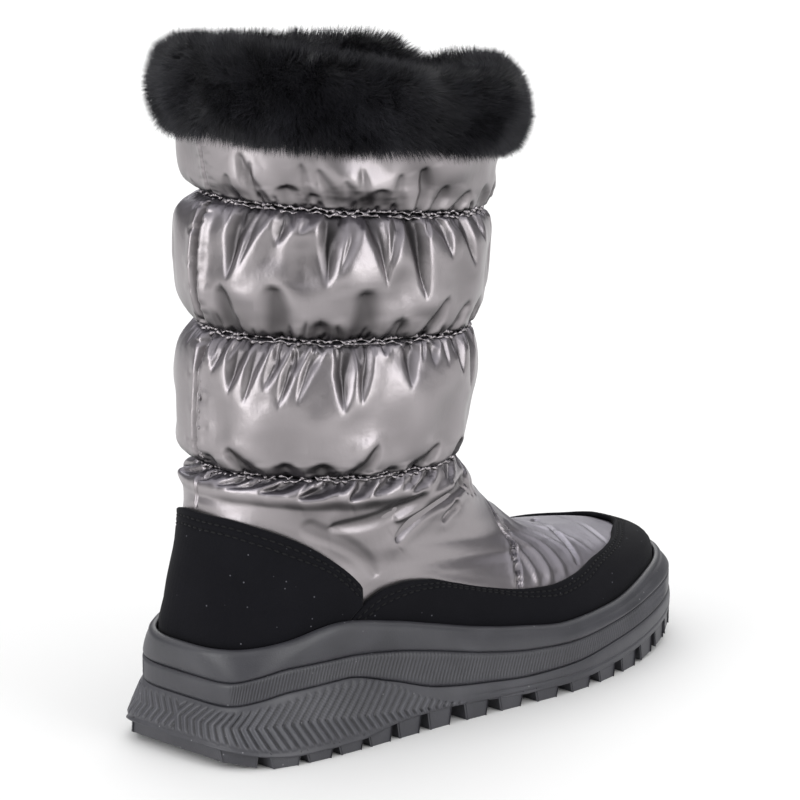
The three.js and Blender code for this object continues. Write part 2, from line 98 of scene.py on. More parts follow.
def soft_box(name, place, aim, size, watts):
    light = bpy.data.lights.new(name, "AREA")
    light.shape = "RECTANGLE"
    light.size, light.size_y = size
    light.energy = watts
    lamp = bpy.data.objects.new(name, light)
    scene.collection.objects.link(lamp)
    lamp.location = place
    lamp.rotation_mode = "QUATERNION"
    lamp.rotation_quaternion = (Vector(aim) - Vector(place)).to_track_quat("-Z", "Y")


BOOT_MIDDLE = (0, 0, 0.14)
soft_box("left_box", (0.25, 2.1, 0.58), BOOT_MIDDLE, (1.3, 1.1), 22)
soft_box("right_box", (-2.1, -0.15, 0.58), BOOT_MIDDLE, (1.1, 1.1), 18)
soft_box("backdrop_box", (2.6, -2.6, 2.2), (1.2, -1.2, 0), (3.0, 3.0), 50)
sun = bpy.data.lights.new("sky", "SUN")
sun.energy = 2.65
sun.angle = math.radians(130)
sky = bpy.data.objects.new("sky", sun)
scene.collection.objects.link(sky)

FLOOR_HALF = 12
floor_mesh = bpy.data.meshes.new("floor")
bm = bmesh.new()
bmesh.ops.create_grid(bm, x_segments=1, y_segments=1, size=FLOOR_HALF)
bm.to_mesh(floor_mesh)
bm.free()
floor = bpy.data.objects.new("floor", floor_mesh)
scene.collection.objects.link(floor)
# Matt white board: even and bright, with hardly any gloss under the boot.
floor_paint, tree = new_material("matt_white_floor")
grain = add_node(tree, "ShaderNodeTexNoise", {"Scale": cells_of(16.667), "Detail": 3.0})
tone = add_node(tree, "ShaderNodeMapRange", {"To Min": 0.86, "To Max": 0.9}, {"Value": grain.outputs["Fac"]})
shader = add_node(tree, "ShaderNodeBsdfPrincipled", {"Roughness": 0.9, "Specular IOR Level": 0.1},
                  {"Base Color": tone.outputs[0]})
add_node(tree, "ShaderNodeOutputMaterial", None, {"Surface": shader.outputs[0]})
floor_mesh.materials.append(floor_paint)

# ---- Outsole ----
# One moulding of black-grey rubber: a side wall that flares at the heel and carries chevron grooves,
# a plain band above the lugs and a flat sole face. The midsole is cemented on top of it.
# Sizes are in millimetres: a station runs from heel to toe, a side is positive to the outer side, and
# the side shift sets the middle of the sole's width on the frame's middle plane.
SOLE_LENGTH = 275.0
SIDE_SHIFT = 2.2516
GAP = 0.3


def smooth_line(xs, ys):
    """A smooth curve through points that never overshoots them."""
    xs, ys = np.array(xs, float), np.array(ys, float)
    rise = np.diff(ys) / np.diff(xs)
    slope = np.concatenate(([rise[0]], np.zeros(len(xs) - 2), [rise[-1]]))
    before, after = rise[:-1], rise[1:]
    same = before * after > 0
    slope[1:-1][same] = 2 * before[same] * after[same] / (before[same] + after[same])

    def read(at):
        at = np.clip(at, xs[0], xs[-1])
        i = np.clip(np.searchsorted(xs, at, side="right") - 1, 0, len(xs) - 2)
        width = xs[i + 1] - xs[i]
        f = (at - xs[i]) / width
        held = ys[i] * (1 + 2 * f) * (1 - f) ** 2 + ys[i + 1] * (3 - 2 * f) * f ** 2
        swung = slope[i] * f * (1 - f) ** 2 - slope[i + 1] * f ** 2 * (1 - f)
        return held + width * swung
    return read


def columns(names, rows):
    """A table with named columns, as one smooth line per column of its first column."""
    cells = list(zip(*rows))
    return {name: smooth_line(cells[0], cells[i + 1]) for i, name in enumerate(names.split()[1:])}


def smooth_step(f):
    f = np.clip(f, 0, 1)
    return f * f * (3 - 2 * f)


middle_at = smooth_line((0, 50, 110, 160, 200, 240, 275), (0, 0.5, 2.5, 1.5, -2.5, -8.5, -14.6))
SOLE = columns("station bed rim band parting face tip", [
    (0, 31, 44, 32, 22.5, 8.5, 4.5),
    (14, 31, 44.3, 34.6, 25, 5.2, 1),
    (28, 31, 46, 36.5, 27, 3.8, 0),
    (54, 30.5, 50.3, 36.2, 27.4, 4, 0),
    (78, 27.5, 46.8, 34, 21.8, 6.6, 0),
    (98, 24.5, 42, 30.8, 16, 7.2, 0),
    (122, 21, 36, 26, 13.3, 5.8, 0),
    (145, 18, 32, 22.5, 11.4, 4.4, 0),
    (168, 16.6, 29.2, 21.4, 11.9, 4.2, 0),
    (197, 17.4, 29.6, 23, 14.6, 5.4, 0),
    (236, 20.5, 34.2, 26.8, 18, 9, 2.8),
    (275, 24, 36.4, 29.6, 22, 13.5, 8.5),
])
SOLE_RING = dict(back=0, front=275, heel=47.5, ball=55, blunt=4.6, point=3, arch=6)


def side_line(ring, sign):
    """One side of an egg ring, heel to toe, with places along it by half length and half turning."""
    angle = np.linspace(0, np.pi, 73)
    power = np.where(angle < np.pi / 2 - 1e-9, ring["blunt"], ring["point"])
    along = -np.sign(np.cos(angle)) * np.abs(np.cos(angle)) ** (2 / power)
    across = np.abs(np.sin(angle)) ** (2 / power)
    share = (1 + along) / 2
    half = ring["heel"] + (ring["ball"] - ring["heel"]) * smooth_step((share - 0.25) / 0.43)
    station = (ring["back"] + ring["front"]) / 2 + (ring["front"] - ring["back"]) / 2 * along
    pinch = ring["arch"] * np.exp(-((station - 118) / 48) ** 2) * (1 if sign < 0 else 0.5)
    side = middle_at(station) + sign * across * (half - pinch)
    ahead, out = np.diff(station), np.diff(side)
    lengths, headings = np.hypot(ahead, out), np.arctan2(out, ahead)
    turns = np.concatenate(([0], np.abs(np.diff(headings))))
    bends = (turns + np.concatenate((turns[1:], turns[-1:]))) / 2
    places = np.concatenate(([0], np.cumsum(lengths / lengths.sum() + bends / turns.sum())))
    return station, side, places / places[-1]


def plan(ring, around):
    """Stations and sides of a ring at places around it: 0 at the heel, 0.25 on the outer side."""
    turn = np.mod(around, 1.0)
    outer, inner = side_line(ring, 1), side_line(ring, -1)
    return [np.where(turn <= 0.5, np.interp(2 * turn, outer[2], outer[i]),
                     np.interp(2 - 2 * turn, inner[2], inner[i])) for i in (0, 1)]


def sole_ring(around, grow, height):
    """A ring on the sole's wall: the outline moved out by grow, at a height."""
    station, side = plan(SOLE_RING, around)
    back, front = plan(SOLE_RING, around - 0.005), plan(SOLE_RING, around + 0.005)
    heading = np.arctan2(front[1] - back[1], front[0] - back[0])
    height = np.broadcast_to(height, station.shape)
    return np.stack([station - np.sin(heading) * grow, side + np.cos(heading) * grow, height], -1)


def in_place(points):
    """Millimetres on the last to metres in the boot's frame."""
    station, side, height = np.moveaxis(np.asarray(points, float)[..., :3], -1, 0)
    return np.stack([SIDE_SHIFT - side, SOLE_LENGTH / 2 - station, height], -1) / 1000


def finish_piece(name, bm, material, smooth=True):
    mesh = bpy.data.meshes.new(name)
    bm.to_mesh(mesh)
    bm.free()
    mesh.materials.append(material)
    mesh.polygons.foreach_set("use_smooth", [smooth] * len(mesh.polygons))
    piece = bpy.data.objects.new(name, mesh)
    scene.collection.objects.link(piece)
    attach(piece, "root")
    return piece


def net_of_rings(rings, closed, painted_light=None, joined=True):
    """A net laid over rings of points: round each ring if joined, and from the last to the first if closed.
    Marks of painted light and shade, a row of values for each ring, are kept as an attribute of the points."""
    rings = np.asarray(rings, float)
    if painted_light is not None:
        rings = np.concatenate([rings, np.asarray(painted_light, float)[..., None]], axis=-1)
    if closed:
        rings = np.concatenate([rings, rings[:1]])
    if joined:
        rings = np.concatenate([rings, rings[:, :1]], axis=1)
    rows, count = rings.shape[:2]
    bm = bmesh.new()
    bmesh.ops.create_grid(bm, x_segments=count - 1, y_segments=rows - 1, size=1)
    spots = in_place(rings)
    layer = bm.verts.layers.float.new("painted_light") if painted_light is not None else None
    for vert in bm.verts:
        i = round((vert.co.x + 1) / 2 * (count - 1))
        j = round((vert.co.y + 1) / 2 * (rows - 1))
        vert.co = spots[j, i]
        if layer:
            vert[layer] = rings[j, i, 3]
    bmesh.ops.remove_doubles(bm, verts=bm.verts, dist=2e-6)
    bmesh.ops.recalc_face_normals(bm, faces=bm.faces)
    return bm


def closing_rings(ring, shares):
    """Rings that close a hole from side to side: each point moves towards its partner on the other side."""
    partner = np.roll(ring[::-1], 1, axis=0)
    return [ring + (partner - ring) * share for share in shares]


HALF_ROUND = 2000


def walked_places(fine_to, fine, coarse):
    """Places round the sole by walking: fine steps from the middle of the heel, then coarse ones to the toe,
    the same number on either side. Returns the places and how far each is from the middle of the heel."""
    even = np.arange(2 * HALF_ROUND + 1) / (2 * HALF_ROUND)
    station, side = plan(SOLE_RING, even)
    walked = np.concatenate(([0], np.cumsum(np.hypot(np.diff(station), np.diff(side)))))
    outer, whole = walked[HALF_ROUND], walked[-1]
    steps = np.arange(0, fine_to, fine)
    steps = np.concatenate((steps, np.linspace(fine_to, outer, 1 + round((outer - fine_to) / coarse))))
    back = whole - (steps[1:-1] * (whole - outer) / outer)[::-1]
    return np.interp(np.concatenate((steps, back)), walked, even), np.concatenate((steps, (whole - back)))


def plainness(station):
    """0 where the wall flares out round the heel, 1 where it stands plain, with a soft change between."""
    return smooth_step((station - 60) / 60)


sole_places, from_heel = walked_places(170, 0.48, 2.4)
wall_station = plan(SOLE_RING, sole_places)[0]

# chevrons: arms lean by these shares of their height above and below the apex line, and end at a station
CHEVRON = {"pitch": 3.9, "depth": 1.2, "width": 0.52, "up": 1.0, "down": -0.62, "end": 122, "fade": 1.2}
wing_top = smooth_line((0, 50, 66, 78, 90, 102, 116, 124), (22.5, 27.4, 27, 22, 15.6, 11.4, 8.2, 6.4))
wing_foot = smooth_line((0, 8, 24, 60, 84, 124), (10.6, 8.2, 6.2, 6.2, 7.4, 6.4))
apex_height = smooth_line((0, 30, 60, 90, 124), (16, 15.5, 12.5, 9.5, 6))
WALL = {"rows": 30, "heel_in": -6.8, "heel_bow": 1.15, "toe_in": -0.8, "wing_proud": 0.35}
# two fine moulded lines: one under the heel wing, one along the plain band ahead of it
STEP_LINE = {"below_wing": 0.6, "width": 0.5, "depth": 0.5, "end": 150}
BELT = {"above_face": 3.4, "width": 0.5, "depth": 0.45, "start": 110, "fade": 20}
ROOF_SHARES, FACE_SHARES = (0.02, 0.15, 0.5), (0.01, 0.06, 0.25, 0.5)
outsole_rings, outsole_painted_light = [], []
top, foot = SOLE["parting"](wall_station) - GAP / 2, SOLE["face"](wall_station)
for row in range(WALL["rows"] + 1):
    drop = row / WALL["rows"]
    height = top + (foot - top) * drop
    heel_grow = WALL["heel_in"] * (1 - drop) ** WALL["heel_bow"]
    toe_grow = WALL["toe_in"] * (1 - np.sqrt(max(4 * drop * (1 - drop), 0)))
    grow = heel_grow + (toe_grow - heel_grow) * plainness(wall_station)
    lift = height - apex_height(wall_station)
    reach = from_heel - np.where(lift > 0, CHEVRON["up"], CHEVRON["down"]) * lift
    from_groove = np.abs(np.mod(reach / CHEVRON["pitch"], 1.0) - 0.5)
    groove = smooth_step(1 - from_groove / (CHEVRON["width"] / 2))
    inside = smooth_step((wing_top(wall_station) - height) / CHEVRON["fade"] - 1)
    inside = inside * smooth_step((height - wing_foot(wall_station)) / CHEVRON["fade"])
    inside = inside * (wall_station < CHEVRON["end"])
    from_step = height - wing_foot(wall_station) + STEP_LINE["below_wing"]
    step_line = np.exp(-(from_step / STEP_LINE["width"]) ** 2) * (wall_station < STEP_LINE["end"])
    belt = np.exp(-((height - foot - BELT["above_face"]) / BELT["width"]) ** 2)
    belt = belt * smooth_step((wall_station - BELT["start"]) / BELT["fade"])
    grow = grow + (WALL["wing_proud"] - CHEVRON["depth"] * groove) * inside
    grow = grow - STEP_LINE["depth"] * step_line - BELT["depth"] * belt
    crest = np.exp(-((from_groove - CHEVRON["width"] / 2 - 0.04) / 0.07) ** 2)
    # painted light: a painted highlight along the rims of each chevron groove and painted shade in the groove
    outsole_painted_light.append(inside * (crest - 0.7 * groove))
    outsole_rings.append(sole_ring(sole_places, grow, height))
no_painted_light = np.zeros(len(sole_places))
outsole_painted_light = [no_painted_light] * len(ROOF_SHARES) + outsole_painted_light + [no_painted_light] * len(FACE_SHARES)
sole_net = [*reversed(closing_rings(outsole_rings[0], ROOF_SHARES)), *outsole_rings,
            *closing_rings(outsole_rings[-1], FACE_SHARES)]


LINT_SPACING = 2.381


def lint_specks(tree, here, share):
    """A mask of lint: a dot about 0.4 mm wide in a share of the cells of a cell pattern."""
    cells = add_node(tree, "ShaderNodeTexVoronoi", {"Scale": cells_of(LINT_SPACING)}, {"Vector": here})
    dot = add_node(tree, "ShaderNodeMapRange", {"From Min": 0.16, "From Max": 0.08},
                   {"Value": cells.outputs["Distance"]})
    chance = add_node(tree, "ShaderNodeSeparateColor", None, {0: cells.outputs["Color"]})
    chosen = add_node(tree, "ShaderNodeMath", {"operation": "LESS_THAN", 1: share}, {0: chance.outputs[0]})
    return add_node(tree, "ShaderNodeMath", {"operation": "MULTIPLY"},
                    {0: dot.outputs[0], 1: chosen.outputs[0]})


def moulded_rubber(name, colour, dust, roughness):
    """Moulded rubber: matt, with a fine grain of the mould and a grey bloom of dust in soft patches. Where a
    piece carries marks of painted light, it gets a speckled painted highlight on its ridges and rims and
    painted shade in its grooves. The mould's grain is finer than 0.6 mm and is drawn that coarse so that it
    shows."""
    material, tree = new_material(name)
    here = add_node(tree, "ShaderNodeTexCoord").outputs["Object"]
    bloom = add_node(tree, "ShaderNodeTexNoise", {"Scale": cells_of(18.18), "Detail": 5.0}, {"Vector": here})
    soft = add_node(tree, "ShaderNodeMapRange", {"From Min": 0.35, "From Max": 0.75},
                    {"Value": bloom.outputs["Fac"]})
    base = add_node(tree, "ShaderNodeMix",
                    {"data_type": "RGBA", 6: hex_to_linear(colour), 7: hex_to_linear(dust)},
                    {"Factor": soft.outputs[0]})
    flecked = add_node(tree, "ShaderNodeMix", {"data_type": "RGBA", 7: hex_to_linear("#77777b")},
                       {"Factor": lint_specks(tree, here, 0.07).outputs[0], 6: base.outputs[2]})
    # painted light from the marks: lighter on ridges and rims, darker in grooves, broken into specks by a
    # fine noise
    painted_light = add_node(tree, "ShaderNodeAttribute", {"attribute_name": "painted_light"})
    broken = add_node(tree, "ShaderNodeTexNoise", {"Scale": cells_of(1.4286), "Detail": 2.0},
                      {"Vector": here})
    speckled_light = add_node(tree, "ShaderNodeMath", {"operation": "MULTIPLY"},
                      {0: painted_light.outputs["Fac"], 1: broken.outputs["Fac"]})
    lighter = add_node(tree, "ShaderNodeMapRange",
                       {"From Min": -0.35, "From Max": 0.5, "To Min": 0.55, "To Max": 1.9},
                       {"Value": speckled_light.outputs[0]})
    toned = add_node(tree, "ShaderNodeVectorMath", {"operation": "SCALE"},
                     {0: flecked.outputs[2], "Scale": lighter.outputs[0]})
    grain = add_node(tree, "ShaderNodeTexNoise", {"Scale": cells_of(0.625), "Detail": 2.0}, {"Vector": here})
    bump = add_node(tree, "ShaderNodeBump", {"Strength": 0.25, "Distance": 0.0003},
                    {"Height": grain.outputs["Fac"]})
    shader = add_node(tree, "ShaderNodeBsdfPrincipled",
                      {"Roughness": roughness, "IOR": 1.52, "Specular IOR Level": 0.5},
                      {"Base Color": toned.outputs[0], "Normal": bump.outputs[0]})
    add_node(tree, "ShaderNodeOutputMaterial", None, {"Surface": shader.outputs[0]})
    return material


tread_rubber = moulded_rubber("moulded_tread_rubber", "#35353a", "#424247", 0.46)
outsole = finish_piece("outsole_tread", net_of_rings(sole_net, False, outsole_painted_light), tread_rubber)
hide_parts("outsole")

# ---- Outsole lugs ----
# Blocks with sloping ends and broken edges, of the same rubber and moulded in one with the sole: a row
# under each edge, a row across the middle, and one wide block behind the heel and one under the toe.
EDGE_LUGS = (22, 37, 52, 67, 82, 98, 117, 135, 154, 173, 191, 208, 224, 239, 252)
CENTRE_LUGS = (16, 34, 52, 70, 90, 112, 134, 156, 178, 200, 221, 241)
END_LUGS = ((3, 12, 3), (260, 270, 4))
LUG = {"root": 12.0, "tip": 9.6, "deep": 10.5, "set_back": 1.0, "sunk": 1.2, "edge": 0.6}
CENTRE_LUG = {"root": 10.0, "tip": 8.0, "half_wide": 13.0}
NEAR_HEEL = 2.5


def add_lug(bm, stations, sides_at):
    """A block between two stations: its root in the sole face, its tip on the tip line."""
    block = bmesh.ops.create_cube(bm, size=2)["verts"]
    for vert in block:
        low = vert.co.z < 0
        station = stations[low][0 if vert.co.y < 0 else 1]
        side = sides_at(station)[0 if vert.co.x < 0 else 1]
        height = max(SOLE["tip"](station), 0.0) if low else SOLE["face"](station) + LUG["sunk"]
        vert.co = in_place((station, side, float(height)))
    edges = list({edge for vert in block for edge in vert.link_edges})
    rounded_off = bmesh.ops.bevel(bm, geom=edges, offset=LUG["edge"] / 1000, segments=2, profile=0.5,
                                  affect="EDGES", material=-1)
    for vert in rounded_off["verts"]:
        vert.co.z = max(vert.co.z, 0)


def edge_side(station, sign, set_back):
    line = side_line(SOLE_RING, sign)
    return float(np.interp(station, line[0], line[1])) - sign * set_back


def spans(middle, sizes):
    """The stations of a block's ends, at its root and at its tip."""
    return [(middle - sizes[part] / 2, middle + sizes[part] / 2) for part in ("root", "tip")]


bm = bmesh.new()
for middle in EDGE_LUGS:
    for sign in (1, -1):
        insets = (LUG["set_back"], LUG["set_back"] + LUG["deep"])
        add_lug(bm, spans(middle, LUG),
                lambda s, sign=sign, insets=insets: sorted(edge_side(s, sign, inset) for inset in insets))
for middle in CENTRE_LUGS:
    add_lug(bm, spans(middle, CENTRE_LUG),
            lambda s: [float(middle_at(s)) + sign * CENTRE_LUG["half_wide"] for sign in (-1, 1)])
for back, front, inset in END_LUGS:
    add_lug(bm, ((back - LUG["edge"], front + LUG["edge"]), (back, front)),
            lambda s, inset=inset: [edge_side(max(s, NEAR_HEEL), sign, inset) for sign in (-1, 1)])
bmesh.ops.recalc_face_normals(bm, faces=bm.faces)
lugs = finish_piece("outsole_lugs", bm, tread_rubber, smooth=False)

# ---- Midsole ----
# A cup of dark grey rubber that holds the upper: a band of fine upright ribs below, a smooth band
# above it with a rounded rim, and the inside of the cup down to the foot bed. Cemented to the upper.
# The last that the upper is drawn over: level 0 at the foot bed, 9 to 11 at the gathered seams, 13 at
# the top edge. A level is an egg ring between a back and a front, each with its height, and follow is
# how far it takes after the foot bed's curve.
LAST = columns("level back back_z front front_z heel ball blunt point arch follow", [
    (0, 11.5, 31.4, 265.5, 23, 37, 46.5, 3.6, 2.7, 5, 1),
    (1, 11, 46, 266.5, 38, 38.5, 47, 3.4, 2.6, 5, 0.9),
    (2, 12, 54, 260, 42, 39.5, 45.5, 3, 2.3, 4, 0.6),
    (3, 13, 61, 248, 45, 40.5, 42.5, 2.8, 2.15, 3, 0.35),
    (4, 14.8, 69, 231, 48, 41.5, 38.5, 2.6, 2.05, 2, 0.15),
    (5, 16.5, 77, 209, 52, 42, 36, 2.4, 2.1, 1, 0.05),
    (6, 18.5, 85, 185, 59, 43.5, 36, 2.3, 2, 0, 0),
    (7, 20, 92, 165, 72, 45, 38.5, 2.2, 2, 0, 0),
    (8, 21.5, 99, 146, 88, 47, 44, 2.1, 2, 0, 0),
    (9, 26.5, 108, 131, 105, 46.5, 46.5, 2.1, 2.1, 0, 0),
    (10, 29, 161, 138.5, 155, 48.5, 48.5, 2.1, 2.1, 0, 0),
    (11, 31, 211, 145, 199, 50, 50, 2.1, 2.1, 0, 0),
    (12, 28, 234, 150, 218, 54, 54, 2.1, 2.1, 0, 0),
    (13, 27, 260, 152, 244, 55.5, 55.5, 2.1, 2.1, 0, 0),
])
# the last is worked out at twenty steps to a level, of which the foot takes those up to level 9
TOP_LEVEL, LEVEL_STEPS, FOOT_STEPS = 13, 260, 180
LEVELS = np.linspace(0, TOP_LEVEL, LEVEL_STEPS + 1)
OVERLAY = {"gap": 0.6, "thick": 1.8}
# where the gathered seams draw in most, at the back of the inner side: level, depth, spread below it
PINCH = {"around": 0.9, "wide": 0.075, "above": 0.11,
         "seams": ((9, 5.0, 0.4), (10, 3.0, 0.11), (11, 4.0, 0.11))}
CUP = OVERLAY["gap"] + OVERLAY["thick"] + 2 * GAP


def last_row(level, around):
    ring = {name: float(line(level)) for name, line in LAST.items()}
    station, side = plan(ring, around)
    share = (station - ring["back"]) / (ring["front"] - ring["back"])
    bed = SOLE["bed"]
    chord = bed(ring["back"]) + (bed(ring["front"]) - bed(ring["back"])) * share
    height = ring["back_z"] + (ring["front_z"] - ring["back_z"]) * share
    return np.stack([station, side, height + ring["follow"] * (bed(station) - chord)], -1)


def last_sheet(around):
    """The last's surface and its outward directions, at every level, for places around."""
    points = np.stack([last_row(level, around) for level in LEVELS])
    ahead = np.stack([last_row(level, around + 0.01) for level in LEVELS])
    behind = np.stack([last_row(level, around - 0.01) for level in LEVELS])
    up = np.stack([points[min(i + 2, LEVEL_STEPS)] - points[max(i - 2, 0)] for i in range(LEVEL_STEPS + 1)])
    out = -np.cross(ahead - behind, up)
    out /= np.linalg.norm(out, axis=-1, keepdims=True)
    apart = (around - PINCH["around"] + 0.5) % 1 - 0.5
    for level, depth, below in PINCH["seams"]:
        spread = np.where(LEVELS < level, below, PINCH["above"])
        drawn_in = depth * np.exp(-((LEVELS - level) / spread) ** 2)[:, None]
        points = points - out * (drawn_in * np.exp(-(apart / PINCH["wide"]) ** 2))[..., None]
    return points, out


def on_last(sheet, level, proud=0.0):
    """Points of the sheet at a level for each place around, moved outwards by proud."""
    level = np.broadcast_to(np.asarray(level, float), sheet[0].shape[1])
    spot = np.clip(level / TOP_LEVEL * LEVEL_STEPS, 0, LEVEL_STEPS - 0.001)
    low, f = spot.astype(int), (spot % 1)[:, None]
    across = np.arange(sheet[0].shape[1])
    point, out = [part[low, across] * (1 - f) + part[low + 1, across] * f for part in sheet]
    return point + out * np.broadcast_to(np.asarray(proud, float), level.shape)[:, None]


def level_at(sheet, height_of):
    """The level of the foot at which the last reaches a height line, for each place around."""
    points = sheet[0][:FOOT_STEPS + 1]
    over = points[..., 2] - height_of(points[..., 0])
    first = np.clip(np.argmax(over >= 0, axis=0), 1, FOOT_STEPS)
    across = np.arange(over.shape[1])
    a, b = over[first - 1, across], over[first, across]
    return LEVELS[first - 1] + (LEVELS[1] - LEVELS[0]) * np.clip(-a / (b - a), 0, 1)


# fine upright ribs: they lean by a share of their height, and the band comes out from heel to toe
RIB = {"pitch": 1.6, "depth": 0.5, "lean": 0.3, "rows": 9, "heel_in": -6.7, "toe_out": 6.1, "deep": 2.8}
cup_rubber = moulded_rubber("moulded_cup_rubber", "#2f2f34", "#3a3a3f", 0.44)
rib_places, rib_walk = walked_places(10, RIB["pitch"] / 4, RIB["pitch"] / 4)
rib_station = plan(SOLE_RING, rib_places)[0]
rib_face = RIB["heel_in"] + RIB["toe_out"] * plainness(rib_station)
band, parting = SOLE["band"](rib_station), SOLE["parting"](rib_station)
rib_rings, rib_painted_light = [], []
for row in range(RIB["rows"] + 1):
    f = row / RIB["rows"]
    height = parting + GAP / 2 + (band - 0.5 - parting) * f
    wave = 0.5 + 0.5 * np.cos(2 * np.pi * (rib_walk - RIB["lean"] * (height - parting)) / RIB["pitch"])
    ribbed = smooth_step(row - 0.5) * smooth_step(RIB["rows"] - row - 0.5)
    # the band is plain round the middle of the heel and over the toe
    ribbed = ribbed * smooth_step((rib_walk - 26) / 4) * smooth_step((252 - rib_station) / 10)
    edge = 0.5 * (row == 0) + 0.6 * (row == RIB["rows"])
    rib_rings.append(sole_ring(rib_places, rib_face - RIB["depth"] * wave * ribbed - edge, height))
    # painted light: a painted highlight on the ribs and painted shade in the grooves between them
    rib_painted_light.append(ribbed * (1 - 2 * wave) * 0.8)
for height in (band - 0.5, parting + GAP / 2):
    rib_rings.append(sole_ring(rib_places, rib_face - RIB["deep"], height))
    rib_painted_light.append(np.zeros(len(rib_places)))
ribs = finish_piece("midsole_ribs", net_of_rings(rib_rings, True, rib_painted_light), cup_rubber)

CUP_AROUND = 480
cup_places = np.arange(CUP_AROUND) / CUP_AROUND
cup_station = plan(SOLE_RING, cup_places)[0]
cup_sheet = last_sheet(cup_places)
band, parting = SOLE["band"](cup_station), SOLE["parting"](cup_station)


def cup_ring(heel_grow, toe_grow, height):
    return sole_ring(cup_places, heel_grow + (toe_grow - heel_grow) * plainness(cup_station), height)


def below_rim(drop, proud):
    """A ring on the cup's upper part, a drop below its rim and proud of the last."""
    return on_last(cup_sheet, level_at(cup_sheet, lambda s: SOLE["rim"](s) - drop), proud)


# the wall's bulge from the band up to the shoulder, the rounded rim, and the inside down to the foot bed
BULGE = ((0.02, 0.1), (0.06, 0.28), (0.15, 0.42), (0.3, 0.5), (0.5, 0.5), (0.7, 0.42), (0.86, 0.25),
         (1.0, 0.0))
RIM = ((1.3, 3.15), (0.55, 2.5), (0.12, 1.5), (0.0, 0.75), (0.25, 0.1), (0.9, -0.05))
SHOULDER_DROP, SHOULDER_PROUD = 2.4, 3.4
cup_rings = [cup_ring(-9, -2.9, parting + GAP / 2), cup_ring(-9, -2.9, band - 0.7),
             cup_ring(-7.7, -1.3, band - 0.2)]
start, shoulder = cup_ring(-7.1, -0.7, band + 0.4), below_rim(SHOULDER_DROP, CUP + SHOULDER_PROUD)
away = shoulder - below_rim(SHOULDER_DROP, 0)
away[:, 2] = 0
away /= np.linalg.norm(away, axis=1, keepdims=True)
cup_rings += [start + (shoulder - start) * f + away * out for f, out in BULGE]
cup_rings += [below_rim(drop, CUP + proud) for drop, proud in RIM]
rim_level = level_at(cup_sheet, lambda s: SOLE["rim"](s) - RIM[-1][0])
cup_rings += [on_last(cup_sheet, rim_level * share, CUP + RIM[-1][1]) for share in (0.6, 0.25, 0.02)]
midsole_net = [*reversed(closing_rings(cup_rings[0], ROOF_SHARES)), *cup_rings,
               *closing_rings(cup_rings[-1], (0.05, 0.2, 0.5))]
midsole = finish_piece("midsole_cup", net_of_rings(midsole_net, False), cup_rubber)
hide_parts("midsole")

# ---- Middle tier of the shaft ----
# Pewter nylon with a metallic coating over wadding, gathered into a seam above and below, so that it
# puffs out between them. The cloth is one closed ring, with a lapped seam up its back.
# Levels from and to, then how far the wadding lifts the cloth at the back, the sides and the front.
ANKLE_FROM, TOP_FROM, TOP_TO = 7.8, 11, 12.4
PUFFS = ((ANKLE_FROM, 9, 2.2, 2.2, 1.5), (9, 10, 7.5, 6, 5), (10, 11, 9, 7, 6), (TOP_FROM, 12, 3.5, 3.5, 3))
# top edges of the two overlays, as heights over stations; under them the cloth lies flat
COUNTER_FRONT = 74
COUNTER_EDGE = smooth_line((0, 20, 26, 37, 53, 61, 67, COUNTER_FRONT),
                           (92, 91.8, 89.5, 84, 73, 65.5, 58.5, 48))
MUDGUARD_EDGE = smooth_line((52, 60, 67, 75, 84, 97, 110, 127, 149, 167, 182, 200, 235, 254),
                            (42, 50.6, 56.5, 60, 61, 59.4, 55.4, 50.2, 45.2, 43.6, 44.2, 45.6, 45.4, 43.6))


def puff(level, around):
    """How far the wadding lifts the fabric at a level."""
    lift = np.zeros_like(around)
    for low, high, back, side, front in PUFFS:
        if low < level < high:
            f = (level - low) / (high - low)
            facing = np.cos(2 * np.pi * around)
            end = np.where(facing > 0, back, front)
            swell = (4 * f * (1 - f)) ** 0.68
            if low == ANKLE_FROM and f < 0.5:
                swell = smooth_step(2 * f)
            if low == TOP_FROM:
                swell = 1.0 if f > 0.5 else (4 * f * (1 - f)) ** 0.6
            lift = (side + (end - side) * facing ** 2) * swell
    return lift


# a mark of shade runs from a bright rim to the dark of a deep fold, which is full at this depth
SHADE_FROM, SHADE_TO, FULL_DARK = -0.3, 1.3, 2.4


